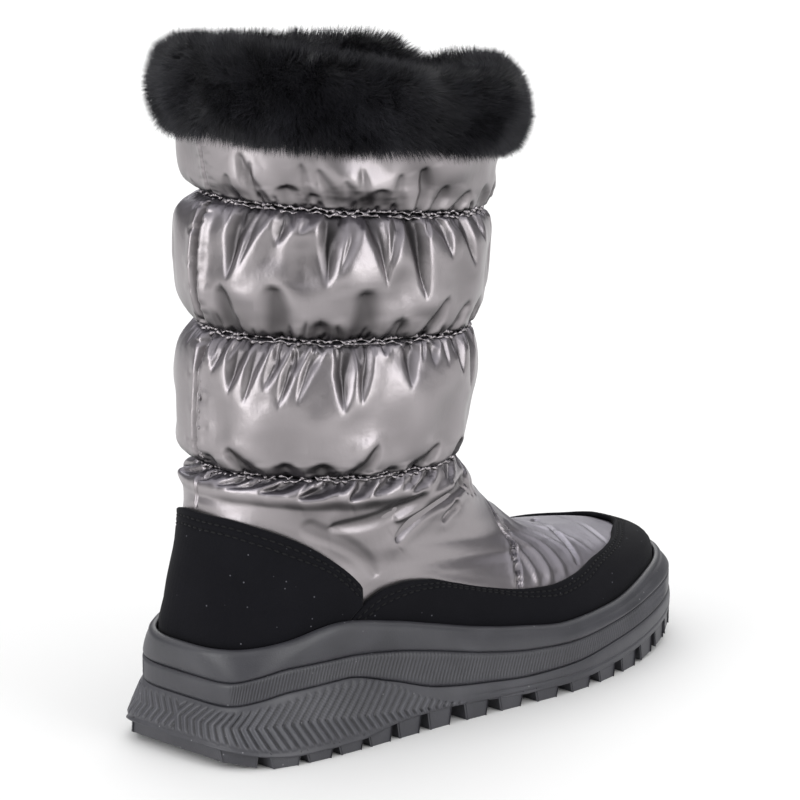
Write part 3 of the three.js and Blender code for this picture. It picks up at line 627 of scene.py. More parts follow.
def fold_field(points, normals, folds):
    """Lift and shade from folds. A fold is (path, half width, depth, tip): a path of points on the surface,
    narrowing towards its end as a power, tip, of what is left of it. A negative depth is a ridge."""
    lift, shade = np.zeros(points.shape[:-1]), np.zeros(points.shape[:-1])
    for path, half, depth, tip in folds:
        path = np.asarray(path, float)
        reach = 2 * half + 4
        near = np.all((points > path.min(0) - reach) & (points < path.max(0) + reach), axis=-1)
        if not near.any():
            continue
        spot, out = points[near], normals[near]
        best, share = np.full(len(spot), 1e9), np.zeros(len(spot))
        count = len(path) - 1
        for k in range(count):
            rel = spot - path[k]
            rel = rel - (rel * out).sum(-1, keepdims=True) * out
            run = path[k + 1] - path[k]
            run = run - (out @ run)[:, None] * out
            t = np.clip((rel * run).sum(-1) / np.maximum((run * run).sum(-1), 1e-6), 0, 1)
            gap = np.linalg.norm(rel - t[:, None] * run, axis=-1)
            closer = gap < best
            best, share = np.where(closer, gap, best), np.where(closer, (k + t) / count, share)
        width = half * np.maximum(1 - share ** 1.6, 0) ** tip
        inside = np.clip((width - best + 0.1 * half) / (0.8 * half), 0, 1)
        well = smooth_step(inside)
        rim = np.exp(-((best - width - 0.35 * half) / (0.65 * half + 1.0)) ** 2)
        lift[near] += depth * ((0.12 + 0.2 * share) * rim - well)
        dark = np.clip(depth / FULL_DARK, 0, SHADE_TO)
        shade[near] = np.maximum(shade[near], well * dark) - 0.2 * rim * min(dark, 1)
    return lift, np.clip(shade, SHADE_FROM, SHADE_TO)


UPPER_AROUND = 620
upper_places = np.arange(UPPER_AROUND) / UPPER_AROUND
upper_sheet = last_sheet(upper_places)
random = np.random.default_rng(7)


def girth(level):
    ring = on_last(upper_sheet, level)
    return np.linalg.norm(np.roll(ring, -1, axis=0) - ring, axis=1).sum()


def shaft_point(level, along):
    """The point at a level, a number of millimetres around from the middle of the back."""
    ring = on_last(upper_sheet, level)
    step = np.linalg.norm(np.roll(ring, -1, axis=0) - ring, axis=1)
    walked = np.concatenate(([0], np.cumsum(step)))
    at = np.mod(along, walked[-1])
    ring = np.concatenate([ring, ring[:1]])
    return np.array([np.interp(at, walked, ring[:, i]) for i in range(3)])


GATHER_PITCH = 5.2
# small gathers: which seam, pitch, jitter, shortest, spread and power of the length, sideways swing, half
# widths, depths, tip
GATHERS = (
    ("top", GATHER_PITCH, 0.4 * GATHER_PITCH, 3.5, 8, 1.8, 2, (0.9, 1.9), (0.5, 1.1), 0.6),
    ("top", 3.2, 1, 2, 3, 1, 1, (0.5, 0.9), (0.4, 0.8), 0.5),
    ("foot", 3.4, 1, 1.5, 2.5, 1, 1, (0.5, 0.9), (0.4, 0.7), 0.5),
    ("foot", 1.15 * GATHER_PITCH, 0.4 * GATHER_PITCH, 3, 6, 2, 1.5, (1.0, 2.2), (0.5, 1.0), 0.5),
)
# how much a listed fold's length, half width, depth and tip grow: from the top seam, from the foot seam, and
# from the foot seam of the tier under the fur
FROM_TOP, FROM_FOOT, UNDER_FUR = (1, 1.3, 1.15, 1), (1, 1.2, 1.1, 1), (1.2, 1.3, 0.62, 0.7)


def tier_folds(low, high, tall, from_top, from_foot, lean):
    """Folds of one tier. Listed ones are (along, to along, length, half width, depth, tip), the rest are
    the small gathers of each seam, scattered by seed. Lean tilts the first row of gathers."""
    folds = []

    def fold(seam, along, to_along, length, half, depth, tip):
        end = seam + (1 if seam == low else -1) * length / tall
        middle = (along + to_along) / 2 + random.uniform(-0.06, 0.06) * length
        path = [shaft_point(seam, along), shaft_point((seam + end) / 2, middle), shaft_point(end, to_along)]
        folds.append((path, half, depth, tip))

    foot_growth = UNDER_FUR if high == TOP_TO else FROM_FOOT
    for seam, listed, grown in ((high, from_top, FROM_TOP), (low, from_foot, foot_growth)):
        for along, to_along, *sizes in listed:
            fold(seam, along, to_along, *(size * more for size, more in zip(sizes, grown)))
    for number, (side, pitch, jitter, short, more, power, swing, halves, depths, tip) in enumerate(GATHERS):
        seam = high if side == "top" else low
        for along in np.arange(0, girth(seam), pitch):
            spot = along + random.uniform(-jitter, jitter)
            length = short + more * random.random() ** power
            tilt = (lean if number == 0 else 0) * length + random.uniform(-swing, swing)
            fold(seam, spot, spot + tilt, length, random.uniform(*halves), random.uniform(*depths), tip)
    return folds


def scattered(count, lengths, halves, depths, tip, start, stop):
    """More large folds on the part of the girth between start and stop, by seed."""
    rows = []
    for k in range(count):
        spot = start + (stop - start) * (k + random.uniform(0.2, 0.8)) / count
        length = random.uniform(*lengths)
        rows.append((spot, spot + random.uniform(-0.25, 0.25) * length, length,
                     random.uniform(*halves), random.uniform(*depths), tip))
    return rows


def soft_waves(levels, seed):
    """Broad, shallow unevenness of the wadding."""
    waves = np.random.default_rng(seed)
    rise = np.linspace(0, 1, len(levels))[:, None]
    total = np.zeros((len(levels), UPPER_AROUND))
    for _ in range(9):
        turns, ups = waves.integers(2, 9), waves.uniform(-1.6, 1.6)
        high = waves.uniform(0.15, 0.42)
        total += high * np.sin(2 * np.pi * (turns * upper_places[None, :] + ups * rise + waves.random()))
    return total


# the power that rounds a hollow's edge
HOLLOW_EDGE = 2.6


def soft_dents(from_foot, tall, dents):
    """Broad soft hollows: (along, share of the height, half length, half height, depth) in millimetres."""
    whole = girth(10)
    along = upper_places[None, :] * whole
    total = np.zeros((len(from_foot), UPPER_AROUND))
    for spot, share, half, half_up, depth in dents:
        apart = np.abs((along - spot + whole / 2) % whole - whole / 2)
        away = np.abs(from_foot - share * tall)
        total -= depth * np.exp(-(apart / half) ** HOLLOW_EDGE - (away / half_up) ** HOLLOW_EDGE)
    return total


# rows of cloth up a tier, how many of them one inner row spans, how far inside the last the inner face
# lies, and how far a seam draws the cloth in
TIER_ROWS, INNER_STEP, CLOTH_BACK, SEAM_IN = 54, 18, 1.6, 1.2
JUST_INSIDE = 1e-4


def outward(sheet, levels):
    """Points of the sheet at each level, and the unit directions out of it there."""
    bare = np.stack([on_last(sheet, level) for level in levels])
    out = np.stack([on_last(sheet, level, 1.0) for level in levels]) - bare
    return bare, out / np.linalg.norm(out, axis=-1, keepdims=True)


def tier(name, low, high, folds, dents, seed, material):
    """One tier: the outer fabric from seam to seam and a plain inner face, as one closed ring."""
    even = np.linspace(0, 1, TIER_ROWS + 1)
    shares = 0.75 * (0.5 - 0.5 * np.cos(np.pi * even)) + 0.25 * even
    levels = low + (high - low) * shares
    bare, out = outward(upper_sheet, levels)
    tall = np.linalg.norm(bare[-1] - bare[0], axis=-1).mean()
    from_foot = shares[:, None] * tall
    # the tier under the fur has no seam at its top, so nothing fades out there
    no_seam = high == TOP_TO
    from_top = (1 - shares)[:, None] * tall
    folded, shade = fold_field(bare, out, folds)
    puffed = np.clip(levels, low + JUST_INSIDE, low + 1 - JUST_INSIDE)
    lift = np.stack([puff(level, upper_places) for level in puffed])
    lift = lift + smooth_step(from_foot / 1.6) * smooth_step(from_top / 1.6 + no_seam) * folded
    hollows = soft_dents(from_foot, tall, dents)
    shade = np.clip(shade - 0.15 * hollows, SHADE_FROM, SHADE_TO)
    soft = soft_waves(levels, seed) + hollows
    lift = lift + soft * smooth_step(from_foot / 7) * smooth_step(from_top / 7 + no_seam)
    lift = lift - SEAM_IN * (1 - smooth_step(np.minimum(from_foot, from_top + 9 * no_seam) / 1.5))
    outer = bare + out * lift[..., None]
    inner = [on_last(upper_sheet, level, -CLOTH_BACK) for level in levels[::-INNER_STEP]]
    marks = [*shade, *np.zeros((len(inner), UPPER_AROUND))]
    piece = finish_piece(name, net_of_rings([*outer, *inner], True, marks), material)


def coated_nylon():
    """Nylon taffeta with a metallic polyurethane coating: a satin pewter film, bright where it catches a
    light, with a faint fine crinkle from the thin cloth under it. Its colour carries painted shade where it
    turns under and in its folds and soft hollows, a cooler, darker painted shade where it faces up, and a
    painted highlight on the rims of its folds. The weave, about 0.2 mm a thread, is drawn at 0.67 mm so that
    it shows."""
    material, tree = new_material("metallic_coated_nylon")
    here = add_node(tree, "ShaderNodeTexCoord").outputs["Object"]
    cloud = add_node(tree, "ShaderNodeTexNoise", {"Scale": cells_of(35.714), "Detail": 4.0}, {"Vector": here})
    base = add_node(tree, "ShaderNodeMix",
                    {"data_type": "RGBA", 6: hex_to_linear("#918c8e"), 7: hex_to_linear("#9b9698")},
                    {"Factor": cloud.outputs["Fac"]})
    normal = add_node(tree, "ShaderNodeNewGeometry").outputs["Normal"]
    facing = add_node(tree, "ShaderNodeSeparateXYZ", None, {0: normal})
    # painted shade: the film is darkened where it faces down
    painted_under_shade = add_node(
        tree, "ShaderNodeMapRange",
        {"interpolation_type": "SMOOTHSTEP", "From Min": -0.8, "From Max": -0.02, "To Min": 0.04},
        {"Value": facing.outputs["Z"]})
    toned = add_node(tree, "ShaderNodeMix", {"data_type": "RGBA", 6: hex_to_linear("#1c1b1c")},
                     {"Factor": painted_under_shade.outputs[0], 7: base.outputs[2]})
    # painted shade in folds and hollows, and a painted highlight on the rims of folds, from the marks on the
    # points
    in_fold = add_node(tree, "ShaderNodeAttribute", {"attribute_name": "painted_light"})
    painted_fold_light = add_node(tree, "ShaderNodeMapRange",
                         {"From Min": SHADE_FROM, "From Max": SHADE_TO, "To Min": 1.25, "To Max": 0.02},
                         {"Value": in_fold.outputs["Fac"]})
    # painted shade: a cooler, darker tone where the film faces up
    painted_top_shade = add_node(tree, "ShaderNodeMapRange", {"From Min": 0.08, "From Max": 0.95},
                         {"Value": facing.outputs["Z"]})
    painted_cool_shade = add_node(tree, "ShaderNodeMix",
                      {"data_type": "RGBA", 6: hex_to_linear("#ffffff"), 7: hex_to_linear("#d2d3e0")},
                      {"Factor": painted_top_shade.outputs[0]})
    toned = add_node(tree, "ShaderNodeVectorMath", {"operation": "MULTIPLY"},
                     {0: toned.outputs[2], 1: painted_cool_shade.outputs[2]})
    toned = add_node(tree, "ShaderNodeVectorMath", {"operation": "SCALE"},
                     {0: toned.outputs[0], "Scale": painted_fold_light.outputs[0]})
    rough = add_node(tree, "ShaderNodeMapRange", {"To Min": 0.33, "To Max": 0.41},
                     {"Value": cloud.outputs["Fac"]})
    crinkle = add_node(tree, "ShaderNodeTexNoise",
                       {"Scale": cells_of(3.846), "Detail": 3.0, "Roughness": 0.55}, {"Vector": here})
    weave = add_node(tree, "ShaderNodeTexNoise", {"Scale": cells_of(0.6667), "Detail": 1.0}, {"Vector": here})
    first = add_node(tree, "ShaderNodeBump", {"Strength": 0.22, "Distance": 0.0006},
                     {"Height": crinkle.outputs["Fac"]})
    second = add_node(tree, "ShaderNodeBump", {"Strength": 0.1, "Distance": 0.0002},
                      {"Height": weave.outputs["Fac"], "Normal": first.outputs[0]})
    shader = add_node(
        tree, "ShaderNodeBsdfPrincipled", {"Metallic": 0.88},
        {"Base Color": toned.outputs[0], "Roughness": rough.outputs[0], "Normal": second.outputs[0]})
    add_node(tree, "ShaderNodeOutputMaterial", None, {"Surface": shader.outputs[0]})
    return material


nylon = coated_nylon()
# where the back seam runs round the shaft, how far aside of it its groove, the pitch of its puckers, and
# how many millimetres a tier has to a level
BACK_SEAM, GROOVE_ASIDE, PUCKER_PITCH, TIER_LEVEL = -8.5, 1.6, 3.6, 50


def up_the_back(low, high, aside, count):
    return [shaft_point(level, BACK_SEAM + aside) for level in np.linspace(low, high, count)]


def back_seam_folds(low, high, half, depth, pucker=1.0):
    """The seam up the back: a lapped groove, doubled where it is deep, with small puckers along it."""
    folds = [(up_the_back(low, high, GROOVE_ASIDE, 26), half, depth, 0.02)]
    if depth > 3:
        folds.append((up_the_back(low, high, GROOVE_ASIDE + 1, 26), 1.3, 3.2, 0.02))
    for k in range(int(TIER_LEVEL * (high - low) / PUCKER_PITCH)):
        level = low + (k + random.uniform(0.2, 0.8)) * PUCKER_PITCH / TIER_LEVEL
        reach = random.uniform(3, 8) * (1 if k % 3 else -1)
        end = shaft_point(level + random.uniform(-0.05, 0.02), BACK_SEAM + 1 + reach)
        folds.append(([shaft_point(level, BACK_SEAM + 1), end],
                      random.uniform(0.8, 1.3), pucker * random.uniform(0.5, 0.9), 0.5))
    return folds


middle_top = [
    (14, 9, 28, 4.4, 2.4, 0.6), (21, 13, 24, 2.6, 1.4, 0.8), (29, 25, 15, 3.8, 1.9, 0.6),
    (37, 33, 10, 3.0, 1.2, 0.7), (45, 42, 28, 4.6, 2.5, 0.6), (52, 46, 24, 2.6, 1.3, 0.8),
    (58, 63, 28, 3.4, 2.2, 0.65), (69, 63, 25, 2.6, 1.3, 0.8), (75, 79, 33, 4.2, 2.5, 0.65),
    (85, 91, 19, 3.2, 1.5, 0.7), (98, 105, 23, 3.4, 1.7, 0.65), (108, 113, 14, 2.8, 1.3, 0.7),
    *scattered(13, (14, 32), (3.0, 4.8), (1.5, 2.5), 0.65, 122, 296),
]
middle_foot = [
    (8, 6, 17, 5.0, 1.7, 0.3), (26, 24, 19, 6.0, 1.9, 0.3), (56, 55, 19, 6.5, 1.9, 0.3),
    (41, 40, 8, 4.5, 1.5, 0.4), (69, 70, 9, 5, 1.5, 0.4), (82, 90, 15, 3.8, 1.6, 0.35),
    (97, 104, 12, 3.6, 1.4, 0.35),
    *scattered(12, (8, 18), (4, 6.5), (1.3, 2.0), 0.32, 113, 300),
]
middle_dents = [
    (37, 0.56, 6.5, 9, 2.6), (24, 0.66, 4, 6, 1.2), (66, 0.42, 8, 6, 1.4), (93, 0.45, 8, 11, 1.9),
    (2, 0.5, 6, 9, 1.6), (52, 0.5, 5, 6, -0.8), (15, 0.36, 6, 5, -0.9), (80, 0.3, 7, 6, -0.8),
    (120, 0.5, 8, 9, 1.6), (150, 0.55, 9, 9, 2.0), (185, 0.5, 9, 10, 1.8), (222, 0.5, 8, 10, 2.0),
    (258, 0.55, 9, 9, 1.8), (292, 0.5, 8, 10, 1.9),
]
middle_folds = tier_folds(10, 11, 49, middle_top, middle_foot, 0.0) + back_seam_folds(10.03, 10.97, 2.3, 3.2)
tier("shaft_tier_middle", 10, 11, middle_folds, middle_dents, 3, nylon)

# ---- Lower tier of the shaft ----
# The same coated nylon, gathered between the third and the second seam, just above the ankle. Its
# gathers at the top lean back a little.
lower_top = [
    (-5, -7, 13, 3.2, 1.6, 0.6), (4, 1, 12, 3.2, 1.6, 0.6), (13, 9, 17, 3.8, 2.0, 0.6),
    (20, 15, 20, 3.0, 1.5, 0.75), (28, 22, 15, 3.0, 1.8, 0.6), (35, 27, 20, 2.8, 1.8, 0.65),
    (41, 33, 19, 2.4, 1.4, 0.7), (51, 49, 21, 3.8, 2.4, 0.55), (57, 55, 19, 3.0, 2.0, 0.6),
    (77, 75, 15, 3.6, 1.7, 0.65), (88, 87, 9, 3, 1.2, 0.6), (102, 103, 14, 3.4, 1.6, 0.65),
    *scattered(15, (10, 24), (2.8, 4.2), (1.4, 2.2), 0.62, 110, 288),
]
lower_foot = [
    (17, 8, 15, 4.6, 1.9, 0.35), (30, 29, 11, 6, 2.0, 0.35), (43, 42, 11, 6, 2.0, 0.35),
    (53, 62, 18, 3.6, 1.8, 0.4), (80, 91, 14, 4.0, 1.7, 0.4), (68, 68, 7, 4.5, 1.6, 0.4),
    (-2, -1, 11, 4.5, 1.5, 0.35),
    *scattered(12, (7, 16), (4, 6), (1.3, 2.0), 0.35, 100, 284),
]
lower_dents = [
    (31, 0.34, 9, 8, 1.6), (5, 0.42, 5, 9, 1.2), (58, 0.28, 8, 6, -1.0), (70, 0.42, 7, 9, 1.3),
    (92, 0.45, 8, 9, 1.5), (20, 0.5, 7, 6, -0.9), (46, 0.5, 7, 6, -0.8), (118, 0.45, 8, 9, 1.6),
    (150, 0.5, 9, 9, 1.8), (185, 0.45, 9, 10, 1.6), (222, 0.5, 8, 10, 1.8), (258, 0.5, 9, 9, 1.6),
    (292, 0.45, 8, 10, 1.6),
]
lower_folds = tier_folds(9, 10, 52, lower_top, lower_foot, -0.1) + back_seam_folds(9.03, 9.97, 1.5, 1.5)
tier("shaft_tier_lower", 9, 10, lower_folds, lower_dents, 5, nylon)

# ---- Top tier of the shaft ----
# The same coated nylon from the first seam up under the fur, gathered at its foot only. It is sewn in
# behind the fur, so it stays full to its top, and its long soft folds run up from the seam.
top_foot = [
    (20, 12, 28, 2.8, 2.0, 0.5), (30, 28, 12, 5.5, 2.2, 0.5), (44, 41, 24, 3.2, 1.6, 0.6),
    (62, 63, 15, 6.0, 2.2, 0.5), (78, 82, 28, 2.8, 2.2, 0.35), (85, 91, 18, 3.6, 1.8, 0.55),
    (36, 38, 9, 3.5, 1.4, 0.5), (52, 50, 20, 3.0, 1.4, 0.6), (8, 6, 16, 2.6, 1.3, 0.5),
    (15, 16, 24, 2.4, 1.2, 0.5), (37, 35, 26, 2.4, 1.2, 0.5), (57, 57, 26, 2.6, 1.3, 0.5),
    (70, 72, 24, 3.0, 1.5, 0.5), (95, 105, 14, 3.4, 1.6, 0.55),
    *scattered(17, (12, 28), (3.0, 5.5), (1.4, 2.3), 0.5, 110, 305),
]
top_dents = [
    (16, 0.75, 6, 8, 1.2), (36, 0.6, 5, 8, 1.4), (56, 0.7, 6, 7, 1.2), (71, 0.55, 5, 8, 1.2),
    (95, 0.6, 7, 8, 1.4), (48, 0.45, 4, 5, -0.8), (125, 0.6, 8, 8, 1.4), (160, 0.6, 8, 8, 1.5),
    (200, 0.6, 8, 8, 1.4), (240, 0.6, 8, 8, 1.5), (280, 0.6, 8, 8, 1.4), (310, 0.6, 8, 8, 1.3),
]
top_folds = tier_folds(TOP_FROM, TOP_TO, 38, [], top_foot, 0.0) + back_seam_folds(11.03, 12.2, 1.2, 1.2, 0.3)
tier("shaft_tier_top", TOP_FROM, TOP_TO, top_folds, top_dents, 9, nylon)

# ---- Foot and ankle ----
# One piece of the same coated nylon over wadding, lasted under the midsole's rim, from under the nubuck
# up to the third seam. A seam runs down each side of the instep, and it creases softly where it bends.
# the foot's lowest level, the third seam's, and how many millimetres the ankle has to a level
FOOT_LOW, ANKLE, ANKLE_LEVEL = 0.7, 9, 14
foot_levels = np.concatenate((np.linspace(FOOT_LOW, 5.5, 70), np.linspace(5.5, ANKLE, 50)[1:]))
foot_bare, foot_out = outward(upper_sheet, foot_levels)
ankle_top = [
    (-1, -7, 8, 2.8, 1.9, 0.5), (15, 4, 8, 2.8, 2.0, 0.5), (24, 9, 9, 2.4, 1.8, 0.5),
    (34, 22, 8, 3.0, 2.3, 0.5), (48, 36, 9, 3.6, 2.6, 0.45), (61, 55, 9, 4.0, 2.6, 0.45),
    (73, 64, 6, 3.6, 2.2, 0.5), (94, 82, 7, 3.4, 2.3, 0.5), (112, 104, 7, 3.0, 1.8, 0.5),
    (54, 46, 5, 2.2, 1.2, 0.5), (84, 76, 5, 2.4, 1.4, 0.5),
    *scattered(13, (6, 12), (2.4, 3.8), (1.5, 2.4), 0.5, 118, 306),
]
ankle_folds = []
for along, to_along, length, *sizes in ankle_top:
    end = ANKLE - length / ANKLE_LEVEL
    middle = shaft_point((ANKLE + end) / 2, (along + to_along) / 2 + 1)
    ankle_folds.append(([shaft_point(ANKLE, along), middle, shaft_point(end, to_along)], *sizes))
# small gathers of the third seam, which lean back as they run down
for along in np.arange(0, 314, 4.2):
    spot = along + random.uniform(-1.6, 1.6)
    length = 2.5 + 5 * random.random() ** 2
    end = shaft_point(ANKLE - length / ANKLE_LEVEL, spot - 0.5 * length)
    ankle_folds.append(([shaft_point(ANKLE, spot), end],
                        random.uniform(0.8, 1.5), random.uniform(0.5, 1.0), 0.7))
INSTEP_SEAM = [
    (146, 22, 76), (148, 29, 71), (153, 32, 62), (150, 36, 58), (147, 41, 51), (145, 44, 46),
    (145, 46, 38),
]
INNER_SEAM = [(150, -16, 76), (156, -26, 66), (155, -34, 56), (153, -40, 44)]


def moved(path, ahead, out=0.0):
    return [(station + ahead, side + out, height) for station, side, height in path]


def rounded(path):
    """A path with its corners cut off twice."""
    path = np.asarray(path, float)
    for _ in range(2):
        near, far = 0.75 * path[:-1] + 0.25 * path[1:], 0.25 * path[:-1] + 0.75 * path[1:]
        path = np.concatenate([path[:1], np.stack([near, far], 1).reshape(-1, 3), path[-1:]])
    return path


# creases and ridges of the foot: a path of (station, side, height), then half width, depth and tip
creases = [
    (moved(INSTEP_SEAM, 1.3, 0.3), 1.3, 2.2, 0.02),
    (moved(INNER_SEAM, 1.3, -0.3), 1.3, 2.2, 0.02),
    # fan of soft ridges ahead of the instep seam, and two quilting creases across the toe
    ([(158, 30, 63), (166, 33, 56), (167, 41, 48), (164, 45, 42)], 2.6, -0.8, 0.1),
    ([(155, 34, 60), (158, 39, 53), (158, 43, 47), (157, 45, 43)], 2.0, -0.8, 0.1),
    ([(160, 22, 64), (174, 26, 57), (177, 35, 50), (176, 43, 43)], 3.0, -0.6, 0.2),
    ([(160, 12, 67), (181, 16, 58), (188, 28, 52), (189, 40, 43)], 3.6, -0.4, 0.6),
    ([(162, 2, 68), (186, 4, 59), (200, 14, 53), (205, 30, 46)], 4.4, -0.4, 0.6),
    ([(162, -6, 67), (186, -10, 57), (206, -12, 51)], 4.4, -0.4, 0.6),
    ([(160, -20, 64), (176, -28, 54), (180, -38, 44)], 2.4, -1.0, 0.2),
    ([(219, -15, 50), (206, -4, 53), (195, 21, 53), (188, 37, 46)], 1.8, 0.9, 0.1),
    ([(238, -20, 44), (232, -6, 47), (224, 14, 47), (220, 28, 43)], 2.0, 0.7, 0.1),
    # ankle: a long soft crease from the instep, a dent under it and shallow rolls behind it
    ([(123, 38, 94), (108, 43, 91), (95, 45, 88), (84, 45, 83), (78, 44, 78)], 4.2, 1.9, 0.4),
    ([(104, 46, 96), (90, 47, 92), (76, 45, 87)], 4.5, -1.1, 0.4),
    ([(114, 41, 85), (106, 44, 80)], 3.2, 1.2, 0.5),
    ([(86, 46, 94), (66, 43, 89), (48, 38, 88)], 4.5, 1.0, 0.3),
    ([(40, 36, 88), (54, 38, 82), (64, 41, 74), (71, 42, 65)], 4.5, 0.5, 0.3),
    ([(119, 38, 94), (124, 36, 87)], 1.4, 0.9, 0.5),
    ([(124, 36, 92), (129, 34, 85)], 1.4, 0.9, 0.5),
    ([(129, 33, 90), (134, 31, 84)], 1.3, 0.8, 0.5),
    ([(138, 22, 84), (144, 12, 82)], 2.0, 1.0, 0.5),
    ([(132, 26, 92), (140, 10, 90), (142, -6, 90)], 2.6, 1.4, 0.4),
    ([(130, -26, 92), (114, -36, 86), (98, -42, 80)], 3.4, 1.8, 0.4),
    ([(124, -24, 84), (112, -36, 74)], 3.2, 1.1, 0.5),
    ([(90, -42, 94), (66, -42, 88), (48, -36, 86)], 4.5, 1.1, 0.3),
    ([(150, -30, 66), (146, -36, 56)], 2.0, -0.9, 0.4),
    ([(142, -30, 68), (136, -38, 58)], 2.2, -0.9, 0.4),
]
back_line = [(up_the_back(8.95, 5.5, GROOVE_ASIDE, 20), 1.1, 0.9, 0.02)]
foot_gate = smooth_step((ANKLE - foot_levels) * 9)[:, None]
foot_lift = np.stack([puff(min(level, ANKLE - JUST_INSIDE), upper_places) for level in foot_levels])
gathered, gather_shade = fold_field(foot_bare, foot_out, ankle_folds + back_line)
creased, crease_shade = fold_field(foot_bare, foot_out, [(rounded(path), *size) for path, *size in creases])
foot_lift = foot_lift + foot_gate * gathered + creased
foot_shade = np.maximum(gather_shade, crease_shade)
foot_station, foot_height = foot_bare[..., 0], foot_bare[..., 2]
counter_edge = np.where(foot_station < COUNTER_FRONT, COUNTER_EDGE(foot_station), 0)
suede_edge = np.maximum(MUDGUARD_EDGE(foot_station), counter_edge)
# the cloth lies flat on the last under the nubuck
above_suede = smooth_step((foot_height - suede_edge + 0.5) / 4)
foot_lift = foot_lift * above_suede + 0.5 * soft_waves(foot_levels, 11) * foot_gate * above_suede
foot_rings = foot_bare + foot_out * foot_lift[..., None]
foot_inner = [on_last(upper_sheet, level, -CLOTH_BACK) for level in np.linspace(ANKLE, FOOT_LOW, 8)]
foot_marks = [*foot_shade, *np.zeros((len(foot_inner), UPPER_AROUND))]
upper_foot = finish_piece("upper_foot", net_of_rings([*foot_rings, *foot_inner], True, foot_marks), nylon)
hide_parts("upper")

# ---- Gathered and lapped seams ----
# The same nylon pinched by its thread: two rows of small shining puckers round the shaft at each gathered
# seam, two finer rows down each instep seam, and one along the edge of the back seam.
STRAND_SIDES = 6


def strand(line, out, seed, spacing, size, drift, loop):
    """A string of puckers along a line: rings of points across it, swelling where a pucker sits."""
    beads = np.random.default_rng(seed)
    steps = np.linalg.norm(np.diff(line, axis=0), axis=1)
    walked = np.concatenate(([0], np.cumsum(steps)))
    whole = walked[-1] + (steps.mean() if loop else 0)
    swell, shift = np.zeros(len(line)), np.zeros(len(line))
    spot = 0.0
    while spot < whole:
        width, strength = beads.uniform(0.6, 1.1) * spacing / 2.4, beads.uniform(0.5, 1.4)
        apart = np.abs(walked - spot)
        apart = np.minimum(apart, whole - apart) if loop else apart
        bead = np.exp(-(apart / width) ** 2)
        swell = np.maximum(swell, bead * strength)
        shift = shift + bead * beads.uniform(-drift, drift)
        spot += beads.uniform(0.6, 1.4) * spacing
    ahead = np.roll(line, -1, axis=0) - np.roll(line, 1, axis=0)
    if not loop:
        ahead = np.gradient(line, axis=0)
    ahead /= np.linalg.norm(ahead, axis=1, keepdims=True)
    across = np.cross(ahead, out)
    radius = size * (0.16 + 0.84 * swell)
    centre = line + out * (0.3 * swell)[:, None] + across * shift[:, None]
    turns = 2 * np.pi * np.arange(STRAND_SIDES) / STRAND_SIDES
    if not loop:
        order = np.arange(len(line))
        radius = radius * np.clip(np.minimum(order, order[::-1]) / 4, 0.001, 1)
    rings = [centre + (out * np.cos(turn) + across * np.sin(turn)) * radius[:, None] for turn in turns]
    return rings if loop else np.swapaxes(np.array(rings), 0, 1)


SEAM_AROUND = 800
seam_sheet = last_sheet(np.arange(SEAM_AROUND) / SEAM_AROUND)
for number, level in ((1, 11), (2, 10), (3, 9)):
    out = on_last(seam_sheet, level, 1.0) - on_last(seam_sheet, level)
    for row, (proud, up, spacing) in enumerate(((0.1, 0.75, 2.3), (0.3, -0.75, 3.6))):
        line = on_last(seam_sheet, level, proud)
        line[:, 2] += up
        rings = strand(line, out, 20 + 3 * number + row, spacing, 0.95, 0.9, True)
        puckers = finish_piece(f"gathered_seam_{number}_{row + 1}", net_of_rings(rings, True), nylon)


def on_foot(path, count):
    """Points evenly along a path, on the foot's outer face, with its outward directions there."""
    path = rounded(path)
    walked = np.concatenate(([0], np.cumsum(np.linalg.norm(np.diff(path, axis=0), axis=1))))
    spots = np.stack([np.interp(np.linspace(0, walked[-1], count), walked, path[:, i]) for i in range(3)], -1)
    flat, face, outs = foot_bare.reshape(-1, 3), foot_rings.reshape(-1, 3), foot_out.reshape(-1, 3)
    near = [np.argmin(((flat - spot) ** 2).sum(1)) for spot in spots]
    line = spots + (face[near] - flat[near])
    for _ in range(4):
        line[1:-1] = (line[:-2] + 2 * line[1:-1] + line[2:]) / 4
    return line, outs[near]


for name, seam in (("instep_seam_outer", INSTEP_SEAM), ("instep_seam_inner", INNER_SEAM)):
    for row, (ahead, size) in enumerate(((0.1, 0.3), (2.6, 0.24))):
        line, out = on_foot(moved(seam, ahead), 160)
        edge = strand(line, out, 51 + row, 1.9, size, 0.05, False)
        puckers = finish_piece(f"{name}_{row + 1}", net_of_rings(edge, False), nylon)
# the back seam's edge on each tier and the ankle: levels from and to, size of its puckers, how far sunk
BACK_EDGES = ((11.04, 12.2, 0.35, 0.3), (10.04, 10.96, 0.45, 0.4), (9.04, 9.96, 0.45, 0.3),
              (7.9, 8.95, 0.35, 0.3))
EDGE_ASIDE, BACK_SEAM_PLACE = 4.4, 0.97
for number, (low, high, size, sunk) in enumerate(BACK_EDGES, 1):
    levels = np.linspace(low, high, 120)
    line = np.array(up_the_back(low, high, EDGE_ASIDE, len(levels)))
    centre = np.array([on_last(upper_sheet, level).mean(0) for level in levels])
    out = (line - centre) * [1, 1, 0]
    out /= np.linalg.norm(out, axis=1, keepdims=True)
    swell = np.array([puff(level, np.array([BACK_SEAM_PLACE]))[0] for level in levels])
    edge = strand(line + out * (swell - sunk)[:, None], out, 70 + number, 2.6, size, 0.1, False)
    puckers = finish_piece(f"back_seam_edge_{number}", net_of_rings(edge, False), nylon)

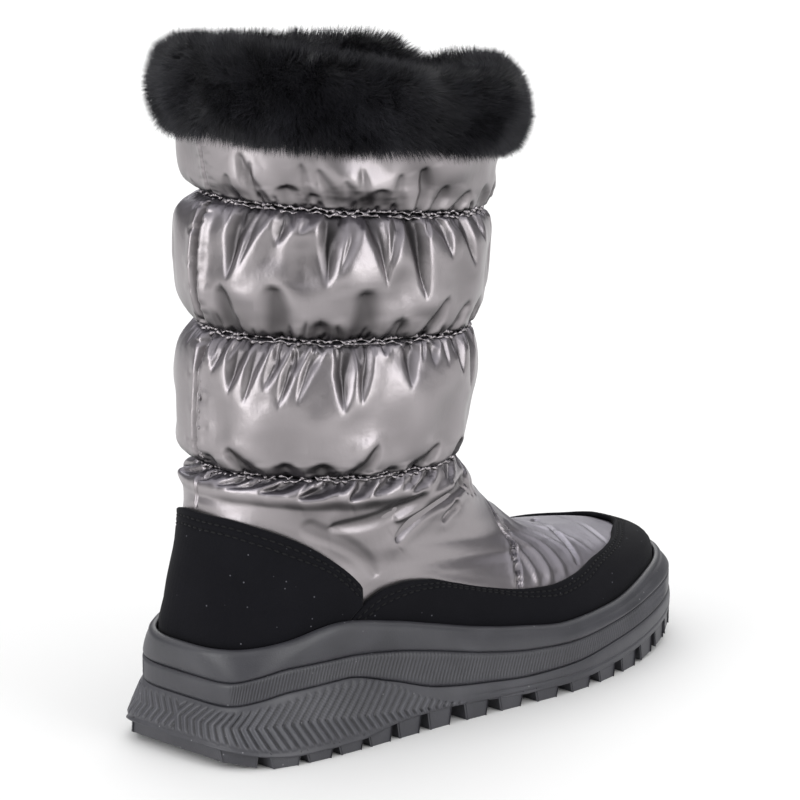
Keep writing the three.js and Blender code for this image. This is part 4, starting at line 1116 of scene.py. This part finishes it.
# ---- Lining and insole ----
# Black short-pile fleece glued to the wadding inside, and a fleece insole on the foot bed.
LINING_AROUND, LINING_BACK = 120, 1.75
lining_sheet = last_sheet(np.arange(LINING_AROUND) / LINING_AROUND)
lining_levels = np.linspace(0.15, 12.9, 40)
lining_faces = 3.6 - 0.8 * smooth_step((lining_levels - 6) / 3)
lining_rings = [on_last(lining_sheet, level, -LINING_BACK) for level in lining_levels]
lining_rings += [on_last(lining_sheet, level, -face)
                 for level, face in zip(lining_levels[::-1], lining_faces[::-1])]


def fleece_pile():
    """Polyester fleece: dull black pile in small curls, lighter on their tips as a painted highlight."""
    material, tree = new_material("black_fleece_pile")
    here = add_node(tree, "ShaderNodeTexCoord").outputs["Object"]
    curls = add_node(tree, "ShaderNodeTexNoise", {"Scale": cells_of(2.381), "Detail": 5.0, "Roughness": 0.7},
                     {"Vector": here})
    tone = add_node(tree, "ShaderNodeMapRange", {"From Min": 0.35, "From Max": 0.7},
                    {"Value": curls.outputs["Fac"]})
    base = add_node(tree, "ShaderNodeMix",
                    {"data_type": "RGBA", 6: hex_to_linear("#0f0f12"), 7: hex_to_linear("#2c2c31")},
                    {"Factor": tone.outputs[0]})
    bump = add_node(tree, "ShaderNodeBump", {"Strength": 0.9, "Distance": 0.0012},
                    {"Height": curls.outputs["Fac"]})
    shader = add_node(tree, "ShaderNodeBsdfPrincipled",
                      {"Roughness": 1.0, "Sheen Weight": 0.4, "Sheen Roughness": 0.5},
                      {"Base Color": base.outputs[2], "Normal": bump.outputs[0]})
    add_node(tree, "ShaderNodeOutputMaterial", None, {"Surface": shader.outputs[0]})
    return material


fleece = fleece_pile()
lining = finish_piece("fleece_lining", net_of_rings(lining_rings, True), fleece)
INSOLE = {"inset": 4.6, "under": 0.8, "edge": 4.0}
# the fleece domes up from the insole's edge and dips a little to the middle: share inwards, rise
INSOLE_DOME = ((0.01, 0.5), (0.03, 0.8), (0.1, 0.8), (0.25, 0.6), (0.5, 0.4))


def above_bed(ring, height):
    return np.stack([ring[:, 0], ring[:, 1], SOLE["bed"](ring[:, 0]) + height], -1)


insole_edge = on_last(lining_sheet, 0.25, -INSOLE["inset"])
insole_low, insole_high = above_bed(insole_edge, INSOLE["under"]), above_bed(insole_edge, INSOLE["edge"])
insole_top = closing_rings(insole_high, [share for share, rise in INSOLE_DOME])
insole_top = [above_bed(ring, INSOLE["edge"] + rise) for ring, (share, rise) in zip(insole_top, INSOLE_DOME)]
insole_net = [*reversed(closing_rings(insole_low, (0.05, 0.2, 0.5))), insole_low, insole_high, *insole_top]
insole = finish_piece("fleece_insole", net_of_rings(insole_net, False), fleece)
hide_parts("insole")

# ---- Heel counter and mudguard ----
# Two overlays of black nubuck, cut with a raw edge and sewn down with two rows of thread; the
# mudguard runs round the toe from quarter to quarter and meets the counter on both sides.
EDGE_BAND, LOW_ROWS, OVERLAY_FOOT = 8.0, 11, 0.6
STITCH = {"pitch": 3.3, "length": 2.5, "thick": 0.85, "rows": (3.0, 6.0), "furrow": 0.65, "sunk": 0.3}


def mm_per_level(sheet, level):
    """Millimetres of the last's surface to a level, just below a level, at each place."""
    return np.maximum(np.linalg.norm(on_last(sheet, level) - on_last(sheet, level - 0.3), axis=1) / 0.3, 3)


def overlay(name, places, low_of, high_of, material):
    """A shell of leather over the last between two levels at each place; its ends taper to nothing."""
    sheet = last_sheet(places)
    low = low_of(sheet, places)
    high = np.maximum(high_of(sheet, places), low + 0.01)
    order = np.arange(len(places))
    thick = OVERLAY["thick"] * np.clip(np.minimum(order, order[::-1]) / 2, 0, 1)
    tall = (high - low) * mm_per_level(sheet, high)
    levels, outer = [], []
    for below in (*np.arange(0, EDGE_BAND, 0.55), *np.linspace(EDGE_BAND, 4 * EDGE_BAND, LOW_ROWS)):
        lower = (below - EDGE_BAND) / (3 * EDGE_BAND) * np.maximum(tall - EDGE_BAND, 0)
        share = (below if below < EDGE_BAND else EDGE_BAND + lower) / tall
        levels.append(high - (high - low) * np.clip(share, 0, 1))
        furrow = sum(np.exp(-((below - row) / STITCH["furrow"]) ** 2) for row in STITCH["rows"])
        shown_thick = thick * (1 - 0.26 * furrow * (below < EDGE_BAND) - 0.4 * (below == 0))
        outer.append(on_last(sheet, levels[-1], OVERLAY["gap"] + shown_thick))
    inner = [on_last(sheet, level, OVERLAY["gap"]) for level in reversed(levels)]
    net = net_of_rings([*outer, *inner], True, joined=False)
    return finish_piece(name, net, material), (sheet, low, high)


def nubuck():
    """Nubuck: leather buffed to a very short, dull nap, blue-black, with darker and lighter strokes of the
    nap and white lint caught in it. The nap is finer than the 0.53 mm at which it is drawn to show."""
    material, tree = new_material("black_nubuck")
    here = add_node(tree, "ShaderNodeTexCoord").outputs["Object"]
    strokes = add_node(tree, "ShaderNodeTexNoise",
                       {"Scale": cells_of(29.412), "Detail": 6.0, "Roughness": 0.6}, {"Vector": here})
    base = add_node(tree, "ShaderNodeMix",
                    {"data_type": "RGBA", 6: hex_to_linear("#101013"), 7: hex_to_linear("#19191d")},
                    {"Factor": strokes.outputs["Fac"]})
    flecked = add_node(tree, "ShaderNodeMix", {"data_type": "RGBA", 7: hex_to_linear("#5c5c62")},
                       {"Factor": lint_specks(tree, here, 0.09).outputs[0], 6: base.outputs[2]})
    nap = add_node(tree, "ShaderNodeTexNoise", {"Scale": cells_of(0.5263), "Detail": 2.0}, {"Vector": here})
    bump = add_node(tree, "ShaderNodeBump", {"Strength": 0.35, "Distance": 0.0003},
                    {"Height": nap.outputs["Fac"]})
    shader = add_node(
        tree, "ShaderNodeBsdfPrincipled",
        {"Roughness": 0.95, "Specular IOR Level": 0.05, "Sheen Weight": 0.05, "Sheen Roughness": 0.4},
        {"Base Color": flecked.outputs[2], "Normal": bump.outputs[0]})
    add_node(tree, "ShaderNodeOutputMaterial", None, {"Surface": shader.outputs[0]})
    return material


def counter_low(sheet, at):
    """The counter ends in a butt joint along the mudguard's edge, and under the midsole's rim behind it."""
    joint = level_at(sheet, lambda s: np.where(s > 50, MUDGUARD_EDGE(s), 0) + 2 * GAP)
    return np.maximum(OVERLAY_FOOT, joint)


def counter_high(sheet, at):
    return level_at(sheet, COUNTER_EDGE)


def mudguard_low(sheet, at):
    return np.full(len(at), OVERLAY_FOOT)


def mudguard_high(sheet, at):
    """The mudguard's edge, which lies lower along the inner side of the toe."""
    inner = 3.5 * smooth_step((at - 0.5) / 0.08)
    return level_at(sheet, lambda s: MUDGUARD_EDGE(s) - inner * smooth_step((s - 150) / 50))


suede = nubuck()
counter_places, mudguard_places = np.linspace(-17, 17, 341) / 96, np.linspace(13, 83, 561) / 96
counter, counter_shape = overlay("heel_counter_nubuck", counter_places, counter_low, counter_high, suede)
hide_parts("heel_counter")
mudguard, mudguard_shape = overlay("mudguard_nubuck", mudguard_places, mudguard_low, mudguard_high, suede)
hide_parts("mudguard")

# ---- Stitches of the overlays ----
# Two rows of lockstitch along each overlay's top edge, in black waxed polyester thread, which pulls each
# stitch down into a furrow of the nubuck. The wax leaves a dull shine, and the twist a fine unevenness.
thread, tree = new_material("waxed_polyester_thread")
here = add_node(tree, "ShaderNodeTexCoord").outputs["Object"]
twist = add_node(tree, "ShaderNodeTexNoise", {"Scale": cells_of(0.45455)}, {"Vector": here})
bump = add_node(tree, "ShaderNodeBump", {"Strength": 0.4, "Distance": 0.0002},
                {"Height": twist.outputs["Fac"]})
shader = add_node(tree, "ShaderNodeBsdfPrincipled",
                  {"Base Color": hex_to_linear("#0e0e11"), "Roughness": 0.75, "Specular IOR Level": 0.25},
                  {"Normal": bump.outputs[0]})
add_node(tree, "ShaderNodeOutputMaterial", None, {"Surface": shader.outputs[0]})


def stitch_row(bm, shape, below):
    """Rounded stitches along a line a distance below an overlay's top edge, where it is tall enough."""
    sheet, low, high = shape
    level = high - below / mm_per_level(sheet, high)
    proud = OVERLAY["gap"] + OVERLAY["thick"] - STITCH["sunk"]
    line, above = on_last(sheet, level, proud), on_last(sheet, level, proud + 1)
    walked = np.concatenate(([0], np.cumsum(np.linalg.norm(np.diff(line, axis=0), axis=1))))

    def spot(at, rows):
        return Vector(in_place([np.interp(at, walked, rows[:, i]) for i in range(3)]))

    for at in np.arange(STITCH["pitch"], walked[-1] - STITCH["pitch"], STITCH["pitch"]):
        if np.interp(at, walked, high - low) < below / ANKLE_LEVEL + 0.15:
            continue
        here = spot(at, line)
        x = (spot(at + 0.5, line) - here).normalized()
        normal = spot(at, above) - here
        z = (normal - normal.dot(x) * x).normalized()
        turn = Matrix((x, z.cross(x), z)).transposed().to_4x4()
        size = Matrix.Diagonal((STITCH["length"] / 2000, STITCH["thick"] / 2000, STITCH["thick"] / 2400, 1))
        place = Matrix.Translation(here) @ turn @ size
        bmesh.ops.create_icosphere(bm, subdivisions=2, radius=1, matrix=place)


bm = bmesh.new()
for shape in (counter_shape, mudguard_shape):
    for below in STITCH["rows"]:
        stitch_row(bm, shape, below)
stitches = finish_piece("overlay_stitches", bm, thread)

# ---- Fur collar ----
# A thick band of black long-pile faux fur round the top edge, turned over it to the inside: a knitted
# back, and pile of fine fibres that lie over each other in tufts and stand off at the silhouette.
# The band's section is given as shares: outwards of how proud it stands, and up from its foot to its top.
FUR_BAND = columns("around low high proud", [
    (0, 236, 275, 11), (0.12, 234, 270, 11.5), (0.25, 229.5, 260, 11.5), (0.36, 225.5, 255.5, 11),
    (0.44, 222, 258, 10.5), (0.5, 220, 256, 10), (0.54, 220.5, 251.5, 10.5), (0.6, 222.5, 262, 11),
    (0.75, 228, 263, 11), (0.88, 234, 268.5, 11), (1, 236, 275, 11),
])
FUR_SECTION = ((0.36, 0.08), (0.52, 0.1), (0.66, 0.2), (0.74, 0.36), (0.72, 0.54), (0.6, 0.7), (0.42, 0.81),
               (0.14, 0.88), (-0.2, 0.88), (-0.5, 0.8), (-0.75, 0.66), (-0.85, 0.5), (-0.75, 0.4),
               (-0.2, 0.32), (0.1, 0.12))
FUR_AROUND, FUR_IN, FUR_DEEP = 240, 3.0, 8.0
fur_places = np.arange(FUR_AROUND) / FUR_AROUND
fur_sheet = last_sheet(fur_places)
fur_low, fur_high = on_last(fur_sheet, 12), on_last(fur_sheet, 12.999)
fur_out = on_last(fur_sheet, 12.5, 1.0) - on_last(fur_sheet, 12.5)
fur_out[:, 2] = 0
fur_out /= np.linalg.norm(fur_out, axis=1, keepdims=True)
fur_rings = []
for out, rise in FUR_SECTION:
    height = FUR_BAND["low"](fur_places) * (1 - rise) + FUR_BAND["high"](fur_places) * rise
    f = ((height - fur_low[:, 2]) / (fur_high[:, 2] - fur_low[:, 2]))[:, None]
    proud = np.where(out > 0, out * FUR_BAND["proud"](fur_places), out * FUR_DEEP - FUR_IN)
    fur_rings.append(fur_low + (fur_high - fur_low) * f + fur_out * proud[:, None])

# Acrylic fibre, drawn fine and left shiny: near black at the root, greyer towards its tips as a painted
# sheen.
fur_pile, tree = new_material("black_faux_fur_fibre")
here = add_node(tree, "ShaderNodeTexCoord").outputs["Object"]
along_fibre = add_node(tree, "ShaderNodeAttribute", {"attribute_name": "fibre"})
fibre_tone = add_node(tree, "ShaderNodeTexNoise", {"Scale": cells_of(16.667), "Detail": 3.0},
                      {"Vector": here})
# painted sheen: the fibres grow lighter towards their tips, more in some places than others
painted_sheen_share = add_node(tree, "ShaderNodeMath", {"operation": "MULTIPLY"},
                     {0: along_fibre.outputs["Fac"], 1: fibre_tone.outputs["Fac"]})
fibre_colour = add_node(tree, "ShaderNodeMix",
                        {"data_type": "RGBA", 6: hex_to_linear("#060608"), 7: hex_to_linear("#36363d")},
                        {"Factor": painted_sheen_share.outputs[0]})
shader = add_node(tree, "ShaderNodeBsdfPrincipled", {"Roughness": 0.5, "Specular IOR Level": 0.3},
                  {"Base Color": fibre_colour.outputs[2]})
add_node(tree, "ShaderNodeOutputMaterial", None, {"Surface": shader.outputs[0]})
fur_back = finish_piece("fur_collar_backing", net_of_rings(fur_rings, True), fur_pile)
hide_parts("fur_collar")


FIBRE_HALF = 0.018
FIBRE_LENGTHS = (0.0045, 0.0085)
# two sizes of noise comb the pile: cells in millimetres for locks and for tufts, and how far each leans it
LOCKS, TUFTS = (20 / 3, 1.4), (100 / 3, 2.2)
STRAY_FROM, STRAY_TO = (-0.4, -0.85, -0.75), (0.4, 0.05, 0.1)


def fur_fibre():
    """One fibre, a unit tall before scaling: a narrow blade with its flat side to Y."""
    mesh = bpy.data.meshes.new("fur_fibre")
    bm = bmesh.new()
    bmesh.ops.create_circle(bm, cap_ends=True, segments=3, radius=1)
    for vert, (x, z) in zip(bm.verts, ((-FIBRE_HALF, 0), (FIBRE_HALF, 0), (0, 1))):
        vert.co = Vector((x, 0, z))
    bm.to_mesh(mesh)
    bm.free()
    mark = mesh.attributes.new("fibre", "FLOAT", "POINT")
    mark.data.foreach_set("value", [vert.co.z for vert in mesh.vertices])
    return bpy.data.objects.new("fur_fibre", mesh)


def grow_fur(name, base, per_m2, seed):
    """Fibres scattered over a base by Geometry Nodes, combed by two sizes of noise, then made mesh. Each
    fibre's flat side keeps to the base, so that a tuft shades as one lock."""
    fibre = fur_fibre()
    group = bpy.data.node_groups.new(name, "GeometryNodeTree")
    group.interface.new_socket("Geometry", in_out="INPUT", socket_type="NodeSocketGeometry")
    group.interface.new_socket("Geometry", in_out="OUTPUT", socket_type="NodeSocketGeometry")
    start = add_node(group, "NodeGroupInput")
    blade = add_node(group, "GeometryNodeObjectInfo", {"Object": fibre})
    points = add_node(group, "GeometryNodeDistributePointsOnFaces", {"Density": per_m2, "Seed": seed},
                      {"Mesh": start.outputs[0]})
    spot = add_node(group, "GeometryNodeInputPosition")
    lean = points.outputs["Normal"]
    for size, weight in (LOCKS, TUFTS):
        noise = add_node(group, "ShaderNodeTexNoise", {"Scale": cells_of(size), "Detail": 1.0},
                         {"Vector": spot.outputs[0]})
        even = add_node(group, "ShaderNodeVectorMath", {"operation": "SUBTRACT", 1: (0.5, 0.5, 0.5)},
                        {0: noise.outputs["Color"]})
        sized = add_node(group, "ShaderNodeVectorMath", {"operation": "SCALE", "Scale": weight},
                         {0: even.outputs[0]})
        lean = add_node(group, "ShaderNodeVectorMath", {"operation": "ADD"},
                        {0: lean, 1: sized.outputs[0]}).outputs[0]
    # single fibres stray too, mostly down and towards the toe
    stray = add_node(group, "FunctionNodeRandomValue",
                     {"data_type": "FLOAT_VECTOR", "Seed": seed + 1, 0: STRAY_FROM, 1: STRAY_TO})
    lean = add_node(group, "ShaderNodeVectorMath", {"operation": "ADD"},
                    {0: lean, 1: stray.outputs[0]}).outputs[0]
    along = add_node(group, "FunctionNodeAlignRotationToVector", {"axis": "Z"}, {"Vector": lean})
    flat = add_node(group, "FunctionNodeAlignRotationToVector", {"axis": "Y", "pivot_axis": "Z"},
                    {"Rotation": along.outputs[0], "Vector": points.outputs["Normal"]})
    length = add_node(group, "FunctionNodeRandomValue",
                      {"data_type": "FLOAT", "Seed": seed + 3, 2: FIBRE_LENGTHS[0], 3: FIBRE_LENGTHS[1]})
    placed = add_node(group, "GeometryNodeInstanceOnPoints", None,
                      {"Points": points.outputs["Points"], "Instance": blade.outputs["Geometry"],
                       "Rotation": flat.outputs[0], "Scale": length.outputs[1]})
    real = add_node(group, "GeometryNodeRealizeInstances", None, {0: placed.outputs[0]})
    add_node(group, "NodeGroupOutput", None, {0: real.outputs[0]})
    carrier = base.copy()
    carrier.data = base.data.copy()
    scene.collection.objects.link(carrier)
    modifier = carrier.modifiers.new("fur", "NODES")
    modifier.node_group = group
    bpy.context.view_layer.update()
    grown = bpy.data.meshes.new_from_object(carrier.evaluated_get(bpy.context.evaluated_depsgraph_get()))
    bpy.data.objects.remove(carrier)
    grown.materials.clear()
    grown.materials.append(fur_pile)
    fur = bpy.data.objects.new(name, grown)
    scene.collection.objects.link(fur)
    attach(fur, "root")


fibres_per_m2 = 4.7e6
for number in (1, 2):
    grow_fur(f"fur_pile_{number}", fur_back, fibres_per_m2, 40 * number)
